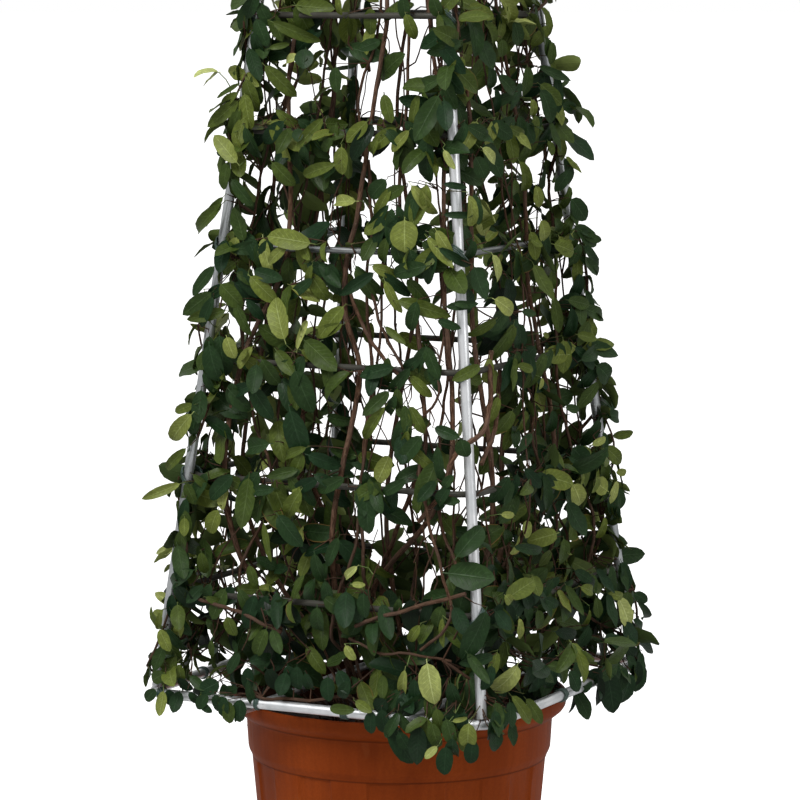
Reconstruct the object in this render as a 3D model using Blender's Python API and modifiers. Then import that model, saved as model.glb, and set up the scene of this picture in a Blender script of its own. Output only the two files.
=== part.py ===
"""Potted star jasmine trained up a tapering four-sided frame of round tube.

A terracotta-coloured nursery pot stands on the ground and is filled with soil. Two cross bars lie
on the pot's rim and carry a square base ring. Four uprights stand on the ring's corners and lean
in to a finial, and hoops pass inside them, held by ties. Woody stems rise from the soil and climb
just inside the frame, and leafy shoots grow out of them.

Frame: metres, +Z up, origin at the middle of the pot's base. The frame's front corner points
to -Y, turned a little towards +X.
"""

import math

import bmesh
import bpy
from mathutils import Matrix, Vector

# Clearance kept between two pieces that touch
GAP = 0.0003

# Pot
POT_HEIGHT = 0.365
RIM_RADIUS = 0.200
POT_WALL = 0.003
FOOT_HEIGHT = 0.018
BAND_BOTTOM = 0.291
BAND_TOP = 0.338
BODY_TOP = 0.1762
BODY_TAPER = 0.093
PANEL_COUNT = 24
PANEL_DEPTH = 0.0025
PANEL_RAMP = math.radians(0.6)
PANEL_TURN = math.radians(2.9)
DRAIN_COUNT = 6
DRAIN_CIRCLE = 0.095
DRAIN_RADIUS = 0.009

# Soil
SOIL_TOP = 0.327
STEM_DEPTH = 0.030
# The pot's wall is flat between its panel points, so the round fill stands this far off it
SOIL_CLEARANCE = 0.0017

# Frame of round tube
FRAME_TURN = math.radians(18.0)
TUBE_RADIUS = 0.0060
HOOP_RADIUS = 0.0042
BAR_RADIUS = 0.0050
RING_CORNER = 0.299
CORNER_BEND = 0.030
LEAN = 0.160
BAR_OFFSET = 0.094
BAR_HALF_LENGTH = 0.222
FINIAL_Z = 2.115
HOOP_HEIGHTS = (0.500, 0.635, 0.770, 0.902, 1.035, 1.168, 1.310, 1.460, 1.620, 1.790, 1.960)

BAR_Z = POT_HEIGHT + GAP + BAR_RADIUS
RING_Z = BAR_Z + BAR_RADIUS + GAP + TUBE_RADIUS
UPRIGHT_FOOT_Z = RING_Z + TUBE_RADIUS + GAP
HOOP_INSET = TUBE_RADIUS + HOOP_RADIUS + 2 * GAP

# Plants
STEM_SPACING = 0.075
LEAF_LENGTH = 0.056
LEAF_WIDTH = 0.026
LEAF_THICKNESS = 0.0012
LEAF_FOLD = 0.004
TWIG_RADIUS = 0.0018

# Corners of the frame, in order round it: each side runs from one corner to the next
CORNERS = ("left", "front", "right", "back")


# ---------------------------------------------------------------- scene and materials

for old in list(bpy.data.objects):
    bpy.data.objects.remove(old)

parts = bpy.data.collections.new("potted_star_jasmine")
cutters = bpy.data.collections.new("cutters")
bpy.context.scene.collection.children.link(parts)
bpy.context.scene.collection.children.link(cutters)


def make_material(name, colour, roughness, metallic=0.0):
    material = bpy.data.materials.new(name)
    material.use_nodes = True
    shader = material.node_tree.nodes["Principled BSDF"]
    shader.inputs["Base Color"].default_value = (*colour, 1.0)
    shader.inputs["Roughness"].default_value = roughness
    shader.inputs["Metallic"].default_value = metallic
    return material


terracotta_plastic = make_material("terracotta_plastic", (0.26, 0.065, 0.025), 0.55)
soil_mix = make_material("soil_mix", (0.030, 0.020, 0.014), 0.95)
bright_tube = make_material("bright_tube", (0.75, 0.76, 0.78), 0.32, 0.9)
tie_plastic = make_material("tie_plastic", (0.012, 0.040, 0.026), 0.45)
bark = make_material("bark", (0.115, 0.055, 0.038), 0.75)
leaf_green = make_material("leaf_green", (0.022, 0.070, 0.026), 0.35)


def add_part(name, data, material):
    """An object of the model: its name is its node's name."""
    thing = bpy.data.objects.new(name, data)
    thing.data.materials.append(material)
    parts.objects.link(thing)
    return thing


def add_cutter(name, mesh, place=(0.0, 0.0, 0.0), owner=cutters):
    cutter = bpy.data.objects.new(name, mesh)
    cutter.location = place
    cutter.hide_render = True
    cutter.display_type = "WIRE"
    owner.objects.link(cutter)
    return cutter


def shade_round(mesh, angle=math.radians(40)):
    mesh.shade_smooth()
    mesh.set_sharp_from_angle(angle=angle)


# ---------------------------------------------------------------- curves and tubes


def tube_curve(name, points, radius, tapers=None, sides=8, cyclic=False):
    """A round tube along points, with filled ends. Blender gives 4 + 2n sides."""
    curve = bpy.data.curves.new(name, "CURVE")
    curve.dimensions = "3D"
    curve.bevel_depth = radius
    curve.bevel_resolution = (sides - 4) // 2
    curve.use_fill_caps = not cyclic
    spline = curve.splines.new("POLY")
    spline.points.add(len(points) - 1)
    for i, point in enumerate(points):
        spline.points[i].co = (*point, 1.0)
        spline.points[i].radius = tapers[i] if tapers else 1.0
    spline.use_cyclic_u = cyclic
    return curve


def smooth_route(route, spacing):
    """Points about one spacing apart on a smooth curve through the route's own points."""
    points = [Vector(p) for p in route]
    ends = [2 * points[0] - points[1], *points, 2 * points[-1] - points[-2]]
    line = []
    for i in range(1, len(ends) - 2):
        before, start, end, after = ends[i - 1 : i + 3]
        steps = max(1, round((end - start).length / spacing))
        for k in range(steps):
            t = k / steps
            line.append(
                0.5
                * (
                    2 * start
                    + (end - before) * t
                    + (2 * before - 5 * start + 4 * end - after) * t**2
                    + (3 * start - before - 3 * end + after) * t**3
                )
            )
    line.append(points[-1])
    return line


def mesh_from_curve(curve):
    """The curve's tube as a closed mesh, with its caps welded on."""
    holder = bpy.data.objects.new(curve.name, curve)
    cutters.objects.link(holder)
    graph = bpy.context.evaluated_depsgraph_get()
    mesh = bpy.data.meshes.new_from_object(holder.evaluated_get(graph))
    bpy.data.objects.remove(holder)
    shell = bmesh.new()
    shell.from_mesh(mesh)
    bmesh.ops.remove_doubles(shell, verts=shell.verts, dist=0.00005)
    bmesh.ops.recalc_face_normals(shell, faces=shell.faces)
    shell.to_mesh(mesh)
    shell.free()
    return mesh


# ---------------------------------------------------------------- where the frame's pieces run


def corner_radius(z):
    """Distance of the uprights' centres from the axis at height z."""
    return RING_CORNER - LEAN * (z - RING_Z)


def corner_direction(corner):
    """Horizontal direction from the axis to a corner: 0 left, 1 front, 2 right, 3 back."""
    angle = FRAME_TURN + math.pi + corner * math.pi / 2
    return Vector((math.cos(angle), math.sin(angle), 0.0))


def side_point(side, z, inset):
    """A point on the frame's side walls. The whole part of side is the corner that the wall
    starts at, its fraction goes to the next corner, and inset is the distance inside."""
    start = corner_direction(math.floor(side))
    end = corner_direction(math.floor(side) + 1)
    along = start.lerp(end, side % 1.0) * corner_radius(z)
    inwards = -(start + end).normalized()
    return Vector((along.x, along.y, z)) + inwards * inset


def side_normal(side):
    """Outward horizontal direction of the wall that holds side."""
    return (corner_direction(math.floor(side)) + corner_direction(math.floor(side) + 1)).normalized()


def square_loop(half_diagonal, bend, z, arc_steps, side_steps):
    """Points of a level square with rounded corners, its corners at the frame's corners."""
    bend_centre = half_diagonal - bend
    points = []
    for corner in range(4):
        direction = corner_direction(corner)
        heading = math.atan2(direction.y, direction.x)
        centre = direction * bend_centre
        for k in range(arc_steps + 1):
            angle = heading + math.radians(-45 + 90 * k / arc_steps)
            points.append(Vector((centre.x + bend * math.cos(angle), centre.y + bend * math.sin(angle), z)))
        following = corner_direction(corner + 1)
        end_angle = heading + math.radians(45)
        out = Vector((math.cos(end_angle), math.sin(end_angle), 0.0)) * bend
        for k in range(1, side_steps):
            flat = centre.lerp(following * bend_centre, k / side_steps) + out
            points.append(Vector((flat.x, flat.y, z)))
    return points


# ---------------------------------------------------------------- pot and soil


def body_radius(z):
    """The tapered body's outside, between its panels."""
    return BODY_TOP - BODY_TAPER * (BAND_BOTTOM - z)


def outer_profile():
    """Height, radius and how far the panels are sunk there (0 or 1), up the pot's outside."""
    foot = body_radius(FOOT_HEIGHT)
    return [
        (0.000, foot - 0.0043, 0),
        (0.003, foot - 0.0016, 0),
        (FOOT_HEIGHT, foot, 0),
        (FOOT_HEIGHT + 0.004, body_radius(FOOT_HEIGHT + 0.004), 1),
        (BAND_BOTTOM - 0.003, body_radius(BAND_BOTTOM - 0.003), 1),
        (BAND_BOTTOM - 0.0012, body_radius(BAND_BOTTOM - 0.0012), 0),
        (BAND_BOTTOM, BODY_TOP + 0.0002, 0),
        (BAND_BOTTOM + 0.009, 0.1805, 0),
        (BAND_TOP, 0.1828, 0),
        (BAND_TOP + 0.002, 0.1850, 0),
        (BAND_TOP + 0.006, 0.1915, 0),
        (BAND_TOP + 0.010, 0.1965, 0),
        (BAND_TOP + 0.014, 0.1988, 0),
        (POT_HEIGHT - 0.003, RIM_RADIUS, 0),
        (POT_HEIGHT, RIM_RADIUS - 0.0006, 0),
    ]


def inner_profile():
    """The same down the pot's inside, one wall in from the outside."""
    foot = body_radius(FOOT_HEIGHT)
    return [
        (POT_HEIGHT, RIM_RADIUS - 0.0040, 0),
        (BAND_TOP + 0.016, 0.1957, 0),
        (BAND_TOP + 0.0125, 0.1940, 0),
        (BAND_TOP + 0.0083, 0.1893, 0),
        (BAND_TOP + 0.0045, 0.1830, 0),
        (BAND_TOP, 0.1828 - POT_WALL, 0),
        (BAND_BOTTOM + 0.0103, 0.1775, 0),
        (BAND_BOTTOM + 0.0025, 0.1740, 0),
        (BAND_BOTTOM + 0.0002, BODY_TOP - POT_WALL, 1),
        (FOOT_HEIGHT + 0.004, body_radius(FOOT_HEIGHT + 0.004) - POT_WALL, 1),
        (FOOT_HEIGHT - 0.003, foot - 0.0004 - POT_WALL, 0),
        (POT_WALL, foot - 0.0016 - POT_WALL, 0),
    ]


def panel_angles():
    """Angles round the pot, with each panel's two edges and its middle, and whether it is sunk."""
    width = 2 * math.pi / PANEL_COUNT
    angles = []
    for panel in range(PANEL_COUNT):
        sunk = panel % 2
        start = PANEL_TURN + panel * width
        for angle in (start + PANEL_RAMP, start + width / 2, start + width - PANEL_RAMP):
            angles.append((angle, sunk))
    return angles


def loft_pot():
    """Rings of the panelled section, from the foot up the outside and down the inside."""
    shell = bmesh.new()
    rings = []
    for z, radius, sunk_here in outer_profile() + inner_profile():
        ring = []
        for angle, sunk in panel_angles():
            r = radius - PANEL_DEPTH * sunk * sunk_here
            ring.append(shell.verts.new((r * math.cos(angle), r * math.sin(angle), z)))
        rings.append(ring)
    count = len(rings[0])
    for lower, upper in zip(rings, rings[1:]):
        for k in range(count):
            n = (k + 1) % count
            shell.faces.new((lower[k], lower[n], upper[n], upper[k]))
    shell.faces.new(list(reversed(rings[0])))
    shell.faces.new(rings[-1])
    bmesh.ops.recalc_face_normals(shell, faces=shell.faces)
    mesh = bpy.data.meshes.new("pot")
    shell.to_mesh(mesh)
    shell.free()
    return mesh


def cylinder_mesh(name, radius, height, sides):
    shell = bmesh.new()
    bmesh.ops.create_cone(
        shell, cap_ends=True, segments=sides, radius1=radius, radius2=radius, depth=height
    )
    mesh = bpy.data.meshes.new(name)
    shell.to_mesh(mesh)
    shell.free()
    return mesh


def cut_with(thing, collection):
    cut = thing.modifiers.new("cut", "BOOLEAN")
    cut.operation = "DIFFERENCE"
    cut.operand_type = "COLLECTION"
    cut.collection = collection
    cut.solver = "EXACT"


def build_pot():
    pot = add_part("pot", loft_pot(), terracotta_plastic)
    shade_round(pot.data, math.radians(30))
    drains = bpy.data.collections.new("drain_cutters")
    cutters.children.link(drains)
    hole = cylinder_mesh("drain_hole", DRAIN_RADIUS, 4 * POT_WALL, 10)
    for k in range(DRAIN_COUNT):
        angle = 2 * math.pi * k / DRAIN_COUNT
        place = (DRAIN_CIRCLE * math.cos(angle), DRAIN_CIRCLE * math.sin(angle), POT_WALL / 2)
        add_cutter(f"drain_cutter_{k + 1}", hole, place, drains)
    cut_with(pot, drains)


def build_soil():
    """Fills the pot a little below its rim, clear of the sunk panels, with a hole for each stem."""
    foot = body_radius(FOOT_HEIGHT)
    fill = [
        (SOIL_TOP, 0.0),
        (SOIL_TOP, 0.1820 - POT_WALL),
        (BAND_BOTTOM + 0.0103, 0.1774),
        (BAND_BOTTOM + 0.0025, 0.1738),
        (BAND_BOTTOM + 0.0002, BODY_TOP - POT_WALL - PANEL_DEPTH),
        (FOOT_HEIGHT + 0.004, foot - POT_WALL - PANEL_DEPTH),
        (POT_WALL + GAP, foot - 0.0018 - POT_WALL - PANEL_DEPTH),
        (POT_WALL + GAP, 0.0),
    ]
    outline = bpy.data.meshes.new("soil")
    points = [(r - SOIL_CLEARANCE if r else 0.0, 0.0, z) for z, r in fill]
    outline.from_pydata(points, [(i, i + 1) for i in range(len(points) - 1)], [])
    soil = add_part("soil", outline, soil_mix)
    turn = soil.modifiers.new("turn", "SCREW")
    turn.steps = turn.render_steps = 32
    turn.use_merge_vertices = True
    turn.merge_threshold = 0.0001
    turn.use_normal_calculate = False
    holes = bpy.data.collections.new("stem_hole_cutters")
    cutters.children.link(holes)
    for name, (x, y), radius, _ in STEMS:
        hole = cylinder_mesh(name + "_hole", radius + 2 * GAP, 2 * STEM_DEPTH, 12)
        add_cutter(name + "_hole", hole, (x, y, SOIL_TOP + GAP), holes)
    cut_with(soil, holes)


# ---------------------------------------------------------------- the frame of tube


def build_bars():
    """Two straight bars across the rim, level with each other, under the ring's front-left
    and back-right sides."""
    along = side_normal(0.5)
    across = Vector((-along.y, along.x, 0.0))
    for name, side in (("left", -1), ("right", 1)):
        middle = across * (side * BAR_OFFSET) + Vector((0.0, 0.0, BAR_Z))
        ends = [middle + along * BAR_HALF_LENGTH, middle - along * BAR_HALF_LENGTH]
        add_part("cross_bar_" + name, tube_curve("cross_bar", ends, BAR_RADIUS), bright_tube)


def build_ring():
    loop = square_loop(RING_CORNER, CORNER_BEND, RING_Z, arc_steps=6, side_steps=1)
    add_part("base_ring", tube_curve("base_ring", loop, TUBE_RADIUS, cyclic=True), bright_tube)


def build_uprights():
    for corner, name in enumerate(CORNERS):
        direction = corner_direction(corner)
        ends = []
        for z in (UPRIGHT_FOOT_Z, FINIAL_Z):
            ends.append(direction * corner_radius(z) + Vector((0.0, 0.0, z)))
        add_part("upright_" + name, tube_curve("upright", ends, TUBE_RADIUS), bright_tube)


def hoop_corner(z):
    return corner_radius(z) - HOOP_INSET


def build_hoops():
    for number, z in enumerate(HOOP_HEIGHTS, start=1):
        bend = min(CORNER_BEND, hoop_corner(z) * 0.4)
        loop = square_loop(hoop_corner(z), bend, z, arc_steps=4, side_steps=1)
        hoop = tube_curve("hoop", loop, HOOP_RADIUS, sides=6, cyclic=True)
        add_part(f"hoop_{number:02d}", hoop, bright_tube)


def build_finial():
    """A turned knob that rests on the uprights' tops."""
    base = FINIAL_Z + GAP + TUBE_RADIUS * LEAN
    profile = [
        (0.040, 0.0),
        (0.036, 0.010),
        (0.026, 0.0155),
        (0.016, 0.012),
        (0.010, 0.016),
        (0.006, 0.031),
        (0.0, 0.031),
        (0.0, 0.0),
    ]
    outline = bpy.data.meshes.new("finial")
    points = [(r, 0.0, base + z) for z, r in profile]
    outline.from_pydata(points, [(i, i + 1) for i in range(len(points) - 1)], [])
    finial = add_part("finial", outline, bright_tube)
    turn = finial.modifiers.new("turn", "SCREW")
    turn.steps = turn.render_steps = 16
    turn.use_merge_vertices = True
    turn.merge_threshold = 0.0001
    turn.use_normal_calculate = False


# A tie goes slantwise round an upright and the hoop inside it
TIES = (
    ("front", (1, 3, 4, 6, 8)),
    ("left", (2, 4, 6)),
    ("right", (2, 3, 5)),
    ("back", (1, 4, 7)),
)
TIE_RADIUS = 0.0010
TIE_STEPS = 14
TIE_SQUARENESS = 3.0
TIE_SLACK = 0.0004
TIE_REACH_UP = 2.0 * TUBE_RADIUS


def build_ties():
    reach_in = (TUBE_RADIUS + HOOP_INSET + HOOP_RADIUS) / 2 + GAP + TIE_RADIUS + TIE_SLACK
    middle_in = (HOOP_INSET + HOOP_RADIUS - TUBE_RADIUS) / 2
    for corner_name, hoops in TIES:
        corner = CORNERS.index(corner_name)
        outwards = corner_direction(corner)
        sideways = Vector((-outwards.y, outwards.x, 0.0))
        for number in hoops:
            z = HOOP_HEIGHTS[number - 1]
            slant = 1 if number % 2 else -1
            upwards = (Vector((0.0, 0.0, 1.0)) + sideways * slant).normalized()
            centre = outwards * (corner_radius(z) - middle_in) + Vector((0.0, 0.0, z))
            loop = []
            for k in range(TIE_STEPS):
                angle = 2 * math.pi * k / TIE_STEPS
                c, s = math.cos(angle), math.sin(angle)
                out = math.copysign(abs(c) ** (2 / TIE_SQUARENESS), c) * reach_in
                up = math.copysign(abs(s) ** (2 / TIE_SQUARENESS), s) * TIE_REACH_UP
                loop.append(centre + outwards * out + upwards * up)
            tie = tube_curve("tie", loop, TIE_RADIUS, sides=4, cyclic=True)
            add_part(f"tie_{corner_name}_{number:02d}", tie, tie_plastic)


# ---------------------------------------------------------------- stems

# Each stem: name, its foot (x, y) in the soil, the radius at the foot, and its route up the
# frame as (side, height, inset). Sides count from the left corner: 0 to 1 is the front-left
# wall, 1 to 2 front-right, 2 to 3 back-right and 3 to 4 back-left.
STEMS = (
    ("stem_front_left", (-0.050, -0.010), 0.0042,
     [(0.47, 0.470, 0.070), (0.50, 0.571, 0.020), (0.53, 0.651, 0.014), (0.57, 0.720, 0.014),
      (0.58, 0.772, 0.014), (0.515, 0.830, 0.014), (0.51, 0.884, 0.014), (0.55, 0.947, 0.014),
      (0.59, 1.038, 0.014), (0.63, 1.106, 0.014), (0.66, 1.186, 0.014), (0.58, 1.34, 0.014),
      (0.48, 1.54, 0.014), (0.55, 1.74, 0.014), (0.50, 1.93, 0.014)]),
    ("stem_front", (-0.030, -0.055), 0.0040,
     [(0.51, 0.480, 0.120), (0.59, 0.528, 0.090), (0.76, 0.584, 0.050), (0.84, 0.617, 0.030),
      (0.91, 0.655, 0.016), (0.93, 0.738, 0.014), (0.91, 0.88, 0.014), (0.93, 1.02, 0.014),
      (0.88, 1.18, 0.014), (0.90, 1.36, 0.014), (0.84, 1.56, 0.014), (0.80, 1.72, 0.014)]),
    ("stem_front_middle", (-0.012, -0.010), 0.0036,
     [(0.51, 0.500, 0.145), (0.61, 0.562, 0.092), (0.73, 0.627, 0.047), (0.80, 0.666, 0.025),
      (0.83, 0.710, 0.014), (0.80, 0.83, 0.014), (0.73, 0.96, 0.014), (0.77, 1.10, 0.014),
      (0.76, 1.26, 0.014), (0.70, 1.40, 0.014)]),
    ("stem_right_front", (0.045, -0.020), 0.0040,
     [(1.30, 0.520, 0.050), (1.24, 0.640, 0.014), (1.17, 0.80, 0.014), (1.21, 0.92, 0.014),
      (1.27, 1.05, 0.014), (1.20, 1.22, 0.014), (1.30, 1.42, 0.014), (1.24, 1.62, 0.014),
      (1.40, 1.80, 0.014)]),
    ("stem_right", (0.070, 0.020), 0.0038,
     [(1.62, 0.520, 0.060), (1.70, 0.640, 0.014), (1.68, 0.79, 0.014), (1.66, 0.86, 0.014),
      (1.74, 1.00, 0.014), (1.66, 1.18, 0.014), (1.72, 1.38, 0.014), (1.60, 1.56, 0.014)]),
    ("stem_back_right", (0.055, 0.055), 0.0038,
     [(2.32, 0.520, 0.060), (2.35, 0.640, 0.014), (2.26, 0.82, 0.014), (2.36, 1.00, 0.014),
      (2.28, 1.22, 0.014), (2.40, 1.44, 0.014), (2.30, 1.66, 0.014), (2.45, 1.86, 0.014)]),
    ("stem_back", (0.012, 0.145), 0.0036,
     [(2.72, 0.520, 0.060), (2.76, 0.640, 0.014), (2.66, 0.84, 0.014), (2.74, 1.04, 0.014),
      (2.64, 1.26, 0.014), (2.76, 1.48, 0.014), (2.68, 1.64, 0.014)]),
    ("stem_back_left", (-0.045, 0.135), 0.0038,
     [(3.28, 0.520, 0.060), (3.30, 0.640, 0.014), (3.38, 0.84, 0.014), (3.28, 1.04, 0.014),
      (3.36, 1.28, 0.014), (3.26, 1.52, 0.014), (3.40, 1.74, 0.014), (3.46, 1.88, 0.014)]),
    ("stem_left_back", (-0.045, 0.045), 0.0036,
     [(3.70, 0.520, 0.060), (3.72, 0.640, 0.014), (3.66, 0.82, 0.014), (3.74, 1.00, 0.014),
      (3.64, 1.22, 0.014), (3.72, 1.42, 0.014)]),
    ("stem_left", (-0.075, 0.000), 0.0040,
     [(0.20, 0.500, 0.060), (0.14, 0.590, 0.016), (0.10, 0.670, 0.014), (0.13, 0.78, 0.014),
      (0.24, 0.87, 0.014), (0.25, 0.956, 0.014), (0.18, 1.10, 0.014), (0.24, 1.28, 0.014),
      (0.16, 1.46, 0.014), (0.28, 1.66, 0.014), (0.22, 1.80, 0.014)]),
)
STEM_TIP = 0.45


def stem_line(foot, route):
    """The stem's points from the bottom of its hole in the soil to its tip."""
    x, y = foot
    start = [Vector((x, y, SOIL_TOP - STEM_DEPTH + 2 * GAP)), Vector((x, y, SOIL_TOP + 0.012))]
    climb = [side_point(side, z, inset) for side, z, inset in route]
    return start + smooth_route(start[1:] + climb, STEM_SPACING)[1:]


def taper(count, tip):
    """Radius factors that fall evenly from 1 to tip."""
    return [1.0 + (tip - 1.0) * i / (count - 1) for i in range(count)]


def build_stems():
    for name, foot, radius, route in STEMS:
        line = stem_line(foot, route)
        stem = tube_curve(name, line, radius, taper(len(line), STEM_TIP), sides=6)
        add_part(name, stem, bark)


# ---------------------------------------------------------------- leafy shoots

# Each shoot: name, the stem that bears it, the height it leaves the stem, its bends as steps
# (x, y, z) from there, and its leaf pairs
SHOOTS = (
    ("shoot_left_low", "stem_left", 0.565, [(-0.030, -0.035, 0.0), (-0.085, -0.045, 0.020)], 3),
    ("shoot_left_mid", "stem_left", 0.840, [(-0.030, -0.040, 0.0), (-0.085, -0.050, 0.015)], 3),
    ("shoot_left_high", "stem_left", 1.235, [(-0.020, -0.035, 0.0), (-0.060, -0.045, 0.030)], 3),
    ("shoot_front_hanging", "stem_front", 0.440,
     [(0.010, -0.060, 0.020), (0.040, -0.155, 0.025), (0.046, -0.212, -0.025), (0.046, -0.222, -0.110)], 5),
    ("shoot_front_low", "stem_front", 0.700, [(0.002, -0.045, 0.0), (-0.020, -0.075, -0.045)], 3),
    ("shoot_front_high", "stem_front", 1.100, [(-0.006, -0.040, 0.0), (-0.020, -0.050, 0.060)], 3),
    ("shoot_middle", "stem_front_left", 1.240, [(-0.018, -0.036, 0.0), (-0.030, -0.050, -0.060)], 3),
    ("shoot_right_low", "stem_right", 0.560, [(0.045, -0.025, 0.0), (0.120, -0.030, -0.010)], 4),
    ("shoot_right_mid", "stem_right", 0.840, [(0.040, -0.020, 0.0), (0.085, -0.030, 0.025)], 3),
    ("shoot_right_high", "stem_right", 1.240, [(0.035, -0.018, 0.0), (0.070, -0.025, 0.030)], 3),
    ("shoot_back_right", "stem_back_right", 0.570, [(0.020, 0.045, 0.0), (0.045, 0.085, 0.030)], 3),
    ("shoot_back_left", "stem_back_left", 0.570, [(-0.040, 0.025, 0.0), (-0.085, 0.050, 0.020)], 3),
    ("shoot_back", "stem_back", 0.570, [(0.015, 0.045, 0.0), (-0.010, 0.105, 0.020)], 3),
    ("shoot_top_left", "stem_front_left", 1.850, [(-0.015, -0.050, 0.060), (-0.005, -0.035, 0.300)], 5),
    ("shoot_top_right", "stem_back_right", 1.800, [(0.020, 0.050, 0.060), (0.025, 0.020, 0.320)], 5),
)
SHOOT_SPACING = 0.030
FIRST_LEAVES = 0.034
LAST_LEAVES = 0.004
PAIR_STAGGER = 0.0015
LEAF_SPREAD = math.radians(52)
LEAF_SINK = 0.0004
TWIG_START = 0.012
TWIG_TIP = 0.65


def leaf_mesh(length, width):
    """A thin pointed leaf from its base at the origin along +X, folded along its midrib."""
    edge = [(0.30, 0.44), (0.66, 0.42)]
    shell = bmesh.new()
    base = shell.verts.new((0.0, 0.0, 0.0))
    tip = shell.verts.new((length, 0.0, 0.0))
    for side in (1, -1):
        rim = []
        for along, out in edge:
            rise = LEAF_FOLD * out / edge[0][1]
            rim.append(shell.verts.new((length * along, side * width * out, rise)))
        corners = [base, tip, rim[1], rim[0]]
        shell.faces.new(corners if side == 1 else corners[::-1])
    under = bmesh.ops.extrude_face_region(shell, geom=shell.faces[:])
    lowered = [item for item in under["geom"] if isinstance(item, bmesh.types.BMVert)]
    bmesh.ops.translate(shell, verts=lowered, vec=(0.0, 0.0, -LEAF_THICKNESS))
    bmesh.ops.recalc_face_normals(shell, faces=shell.faces)
    mesh = bpy.data.meshes.new("leaf")
    shell.to_mesh(mesh)
    shell.free()
    return mesh


def facing(direction, outwards):
    """Rotation that points +X along direction and turns +Z as far outwards as it can."""
    x = direction.normalized()
    y = outwards.cross(x).normalized()
    z = x.cross(y)
    return Matrix((x, y, z)).transposed().to_4x4()


def stem_point(stem_name, z):
    """The stem's centre, heading and radius at height z, on the straight runs that it has."""
    for name, foot, radius, route in STEMS:
        if name == stem_name:
            line = stem_line(foot, route)
            factors = taper(len(line), STEM_TIP)
            for i in range(len(line) - 1):
                low, high = line[i], line[i + 1]
                if low.z <= z <= high.z:
                    t = (z - low.z) / (high.z - low.z)
                    factor = factors[i] + (factors[i + 1] - factors[i]) * t
                    return low.lerp(high, t), (high - low).normalized(), radius * factor
    raise ValueError(f"{stem_name} doesn't pass {z}")


def point_along(line, distance):
    """The point at a distance along a line of points, and the line's direction there."""
    for start, end in zip(line, line[1:]):
        step = (end - start).length
        if distance <= step:
            return start.lerp(end, distance / step), (end - start).normalized()
        distance -= step
    return line[-1], (line[-1] - line[-2]).normalized()


def build_shoots():
    blade = leaf_mesh(LEAF_LENGTH, LEAF_WIDTH)
    for name, stem_name, z, bends, pairs in SHOOTS:
        centre, stem_heading, radius = stem_point(stem_name, z)
        outwards = Vector((bends[0][0], bends[0][1], 0.0))
        outwards = (outwards - stem_heading * outwards.dot(stem_heading)).normalized()
        start = centre + outwards * (radius + GAP)
        route = [start, start + outwards * TWIG_START, *(start + Vector(bend) for bend in bends)]
        line = smooth_route(route, SHOOT_SPACING)
        length = sum((b - a).length for a, b in zip(line, line[1:]))
        tapers = taper(len(line), TWIG_TIP)
        twig = mesh_from_curve(tube_curve(name, line, TWIG_RADIUS, tapers, sides=6))
        shoot = add_part(name, twig, leaf_green)
        leaves = bpy.data.collections.new(name + "_leaves")
        cutters.children.link(leaves)
        face = Vector((centre.x, centre.y, 0.0)).normalized()
        for pair in range(pairs):
            distance = FIRST_LEAVES + (length - FIRST_LEAVES - LAST_LEAVES) * pair / (pairs - 1)
            for side in (1, -1):
                point, heading = point_along(line, distance + PAIR_STAGGER * side)
                sideways = heading.cross(face).normalized() * side
                aim = heading * math.cos(LEAF_SPREAD) + sideways * math.sin(LEAF_SPREAD)
                leaf = add_cutter(f"{name}_leaf", blade, owner=leaves)
                leaf.matrix_world = Matrix.Translation(point - aim * LEAF_SINK) @ facing(aim, face)
        join = shoot.modifiers.new("join", "BOOLEAN")
        join.operation = "UNION"
        join.operand_type = "COLLECTION"
        join.collection = leaves
        join.solver = "EXACT"


build_pot()
build_soil()
build_bars()
build_ring()
build_uprights()
build_hoops()
build_finial()
build_ties()
build_stems()
build_shoots()
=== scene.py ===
# %% [markdown]
# # A potted star jasmine on a tapering frame of bright tube
# This lesson dresses a finished CAD model: a terracotta-coloured nursery pot, soil, a four-sided
# frame of round tube, soft ties, woody stems and a great many leaves.
# The CAD model is loaded first and stays a fixed frame, so each piece below is made where the
# model already says it is, in metres, with +Z up and the pot standing on the ground.

# %% Load the model and measure its box
import math
import random

import bmesh
import bpy
from mathutils import Matrix, Vector, noise


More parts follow.
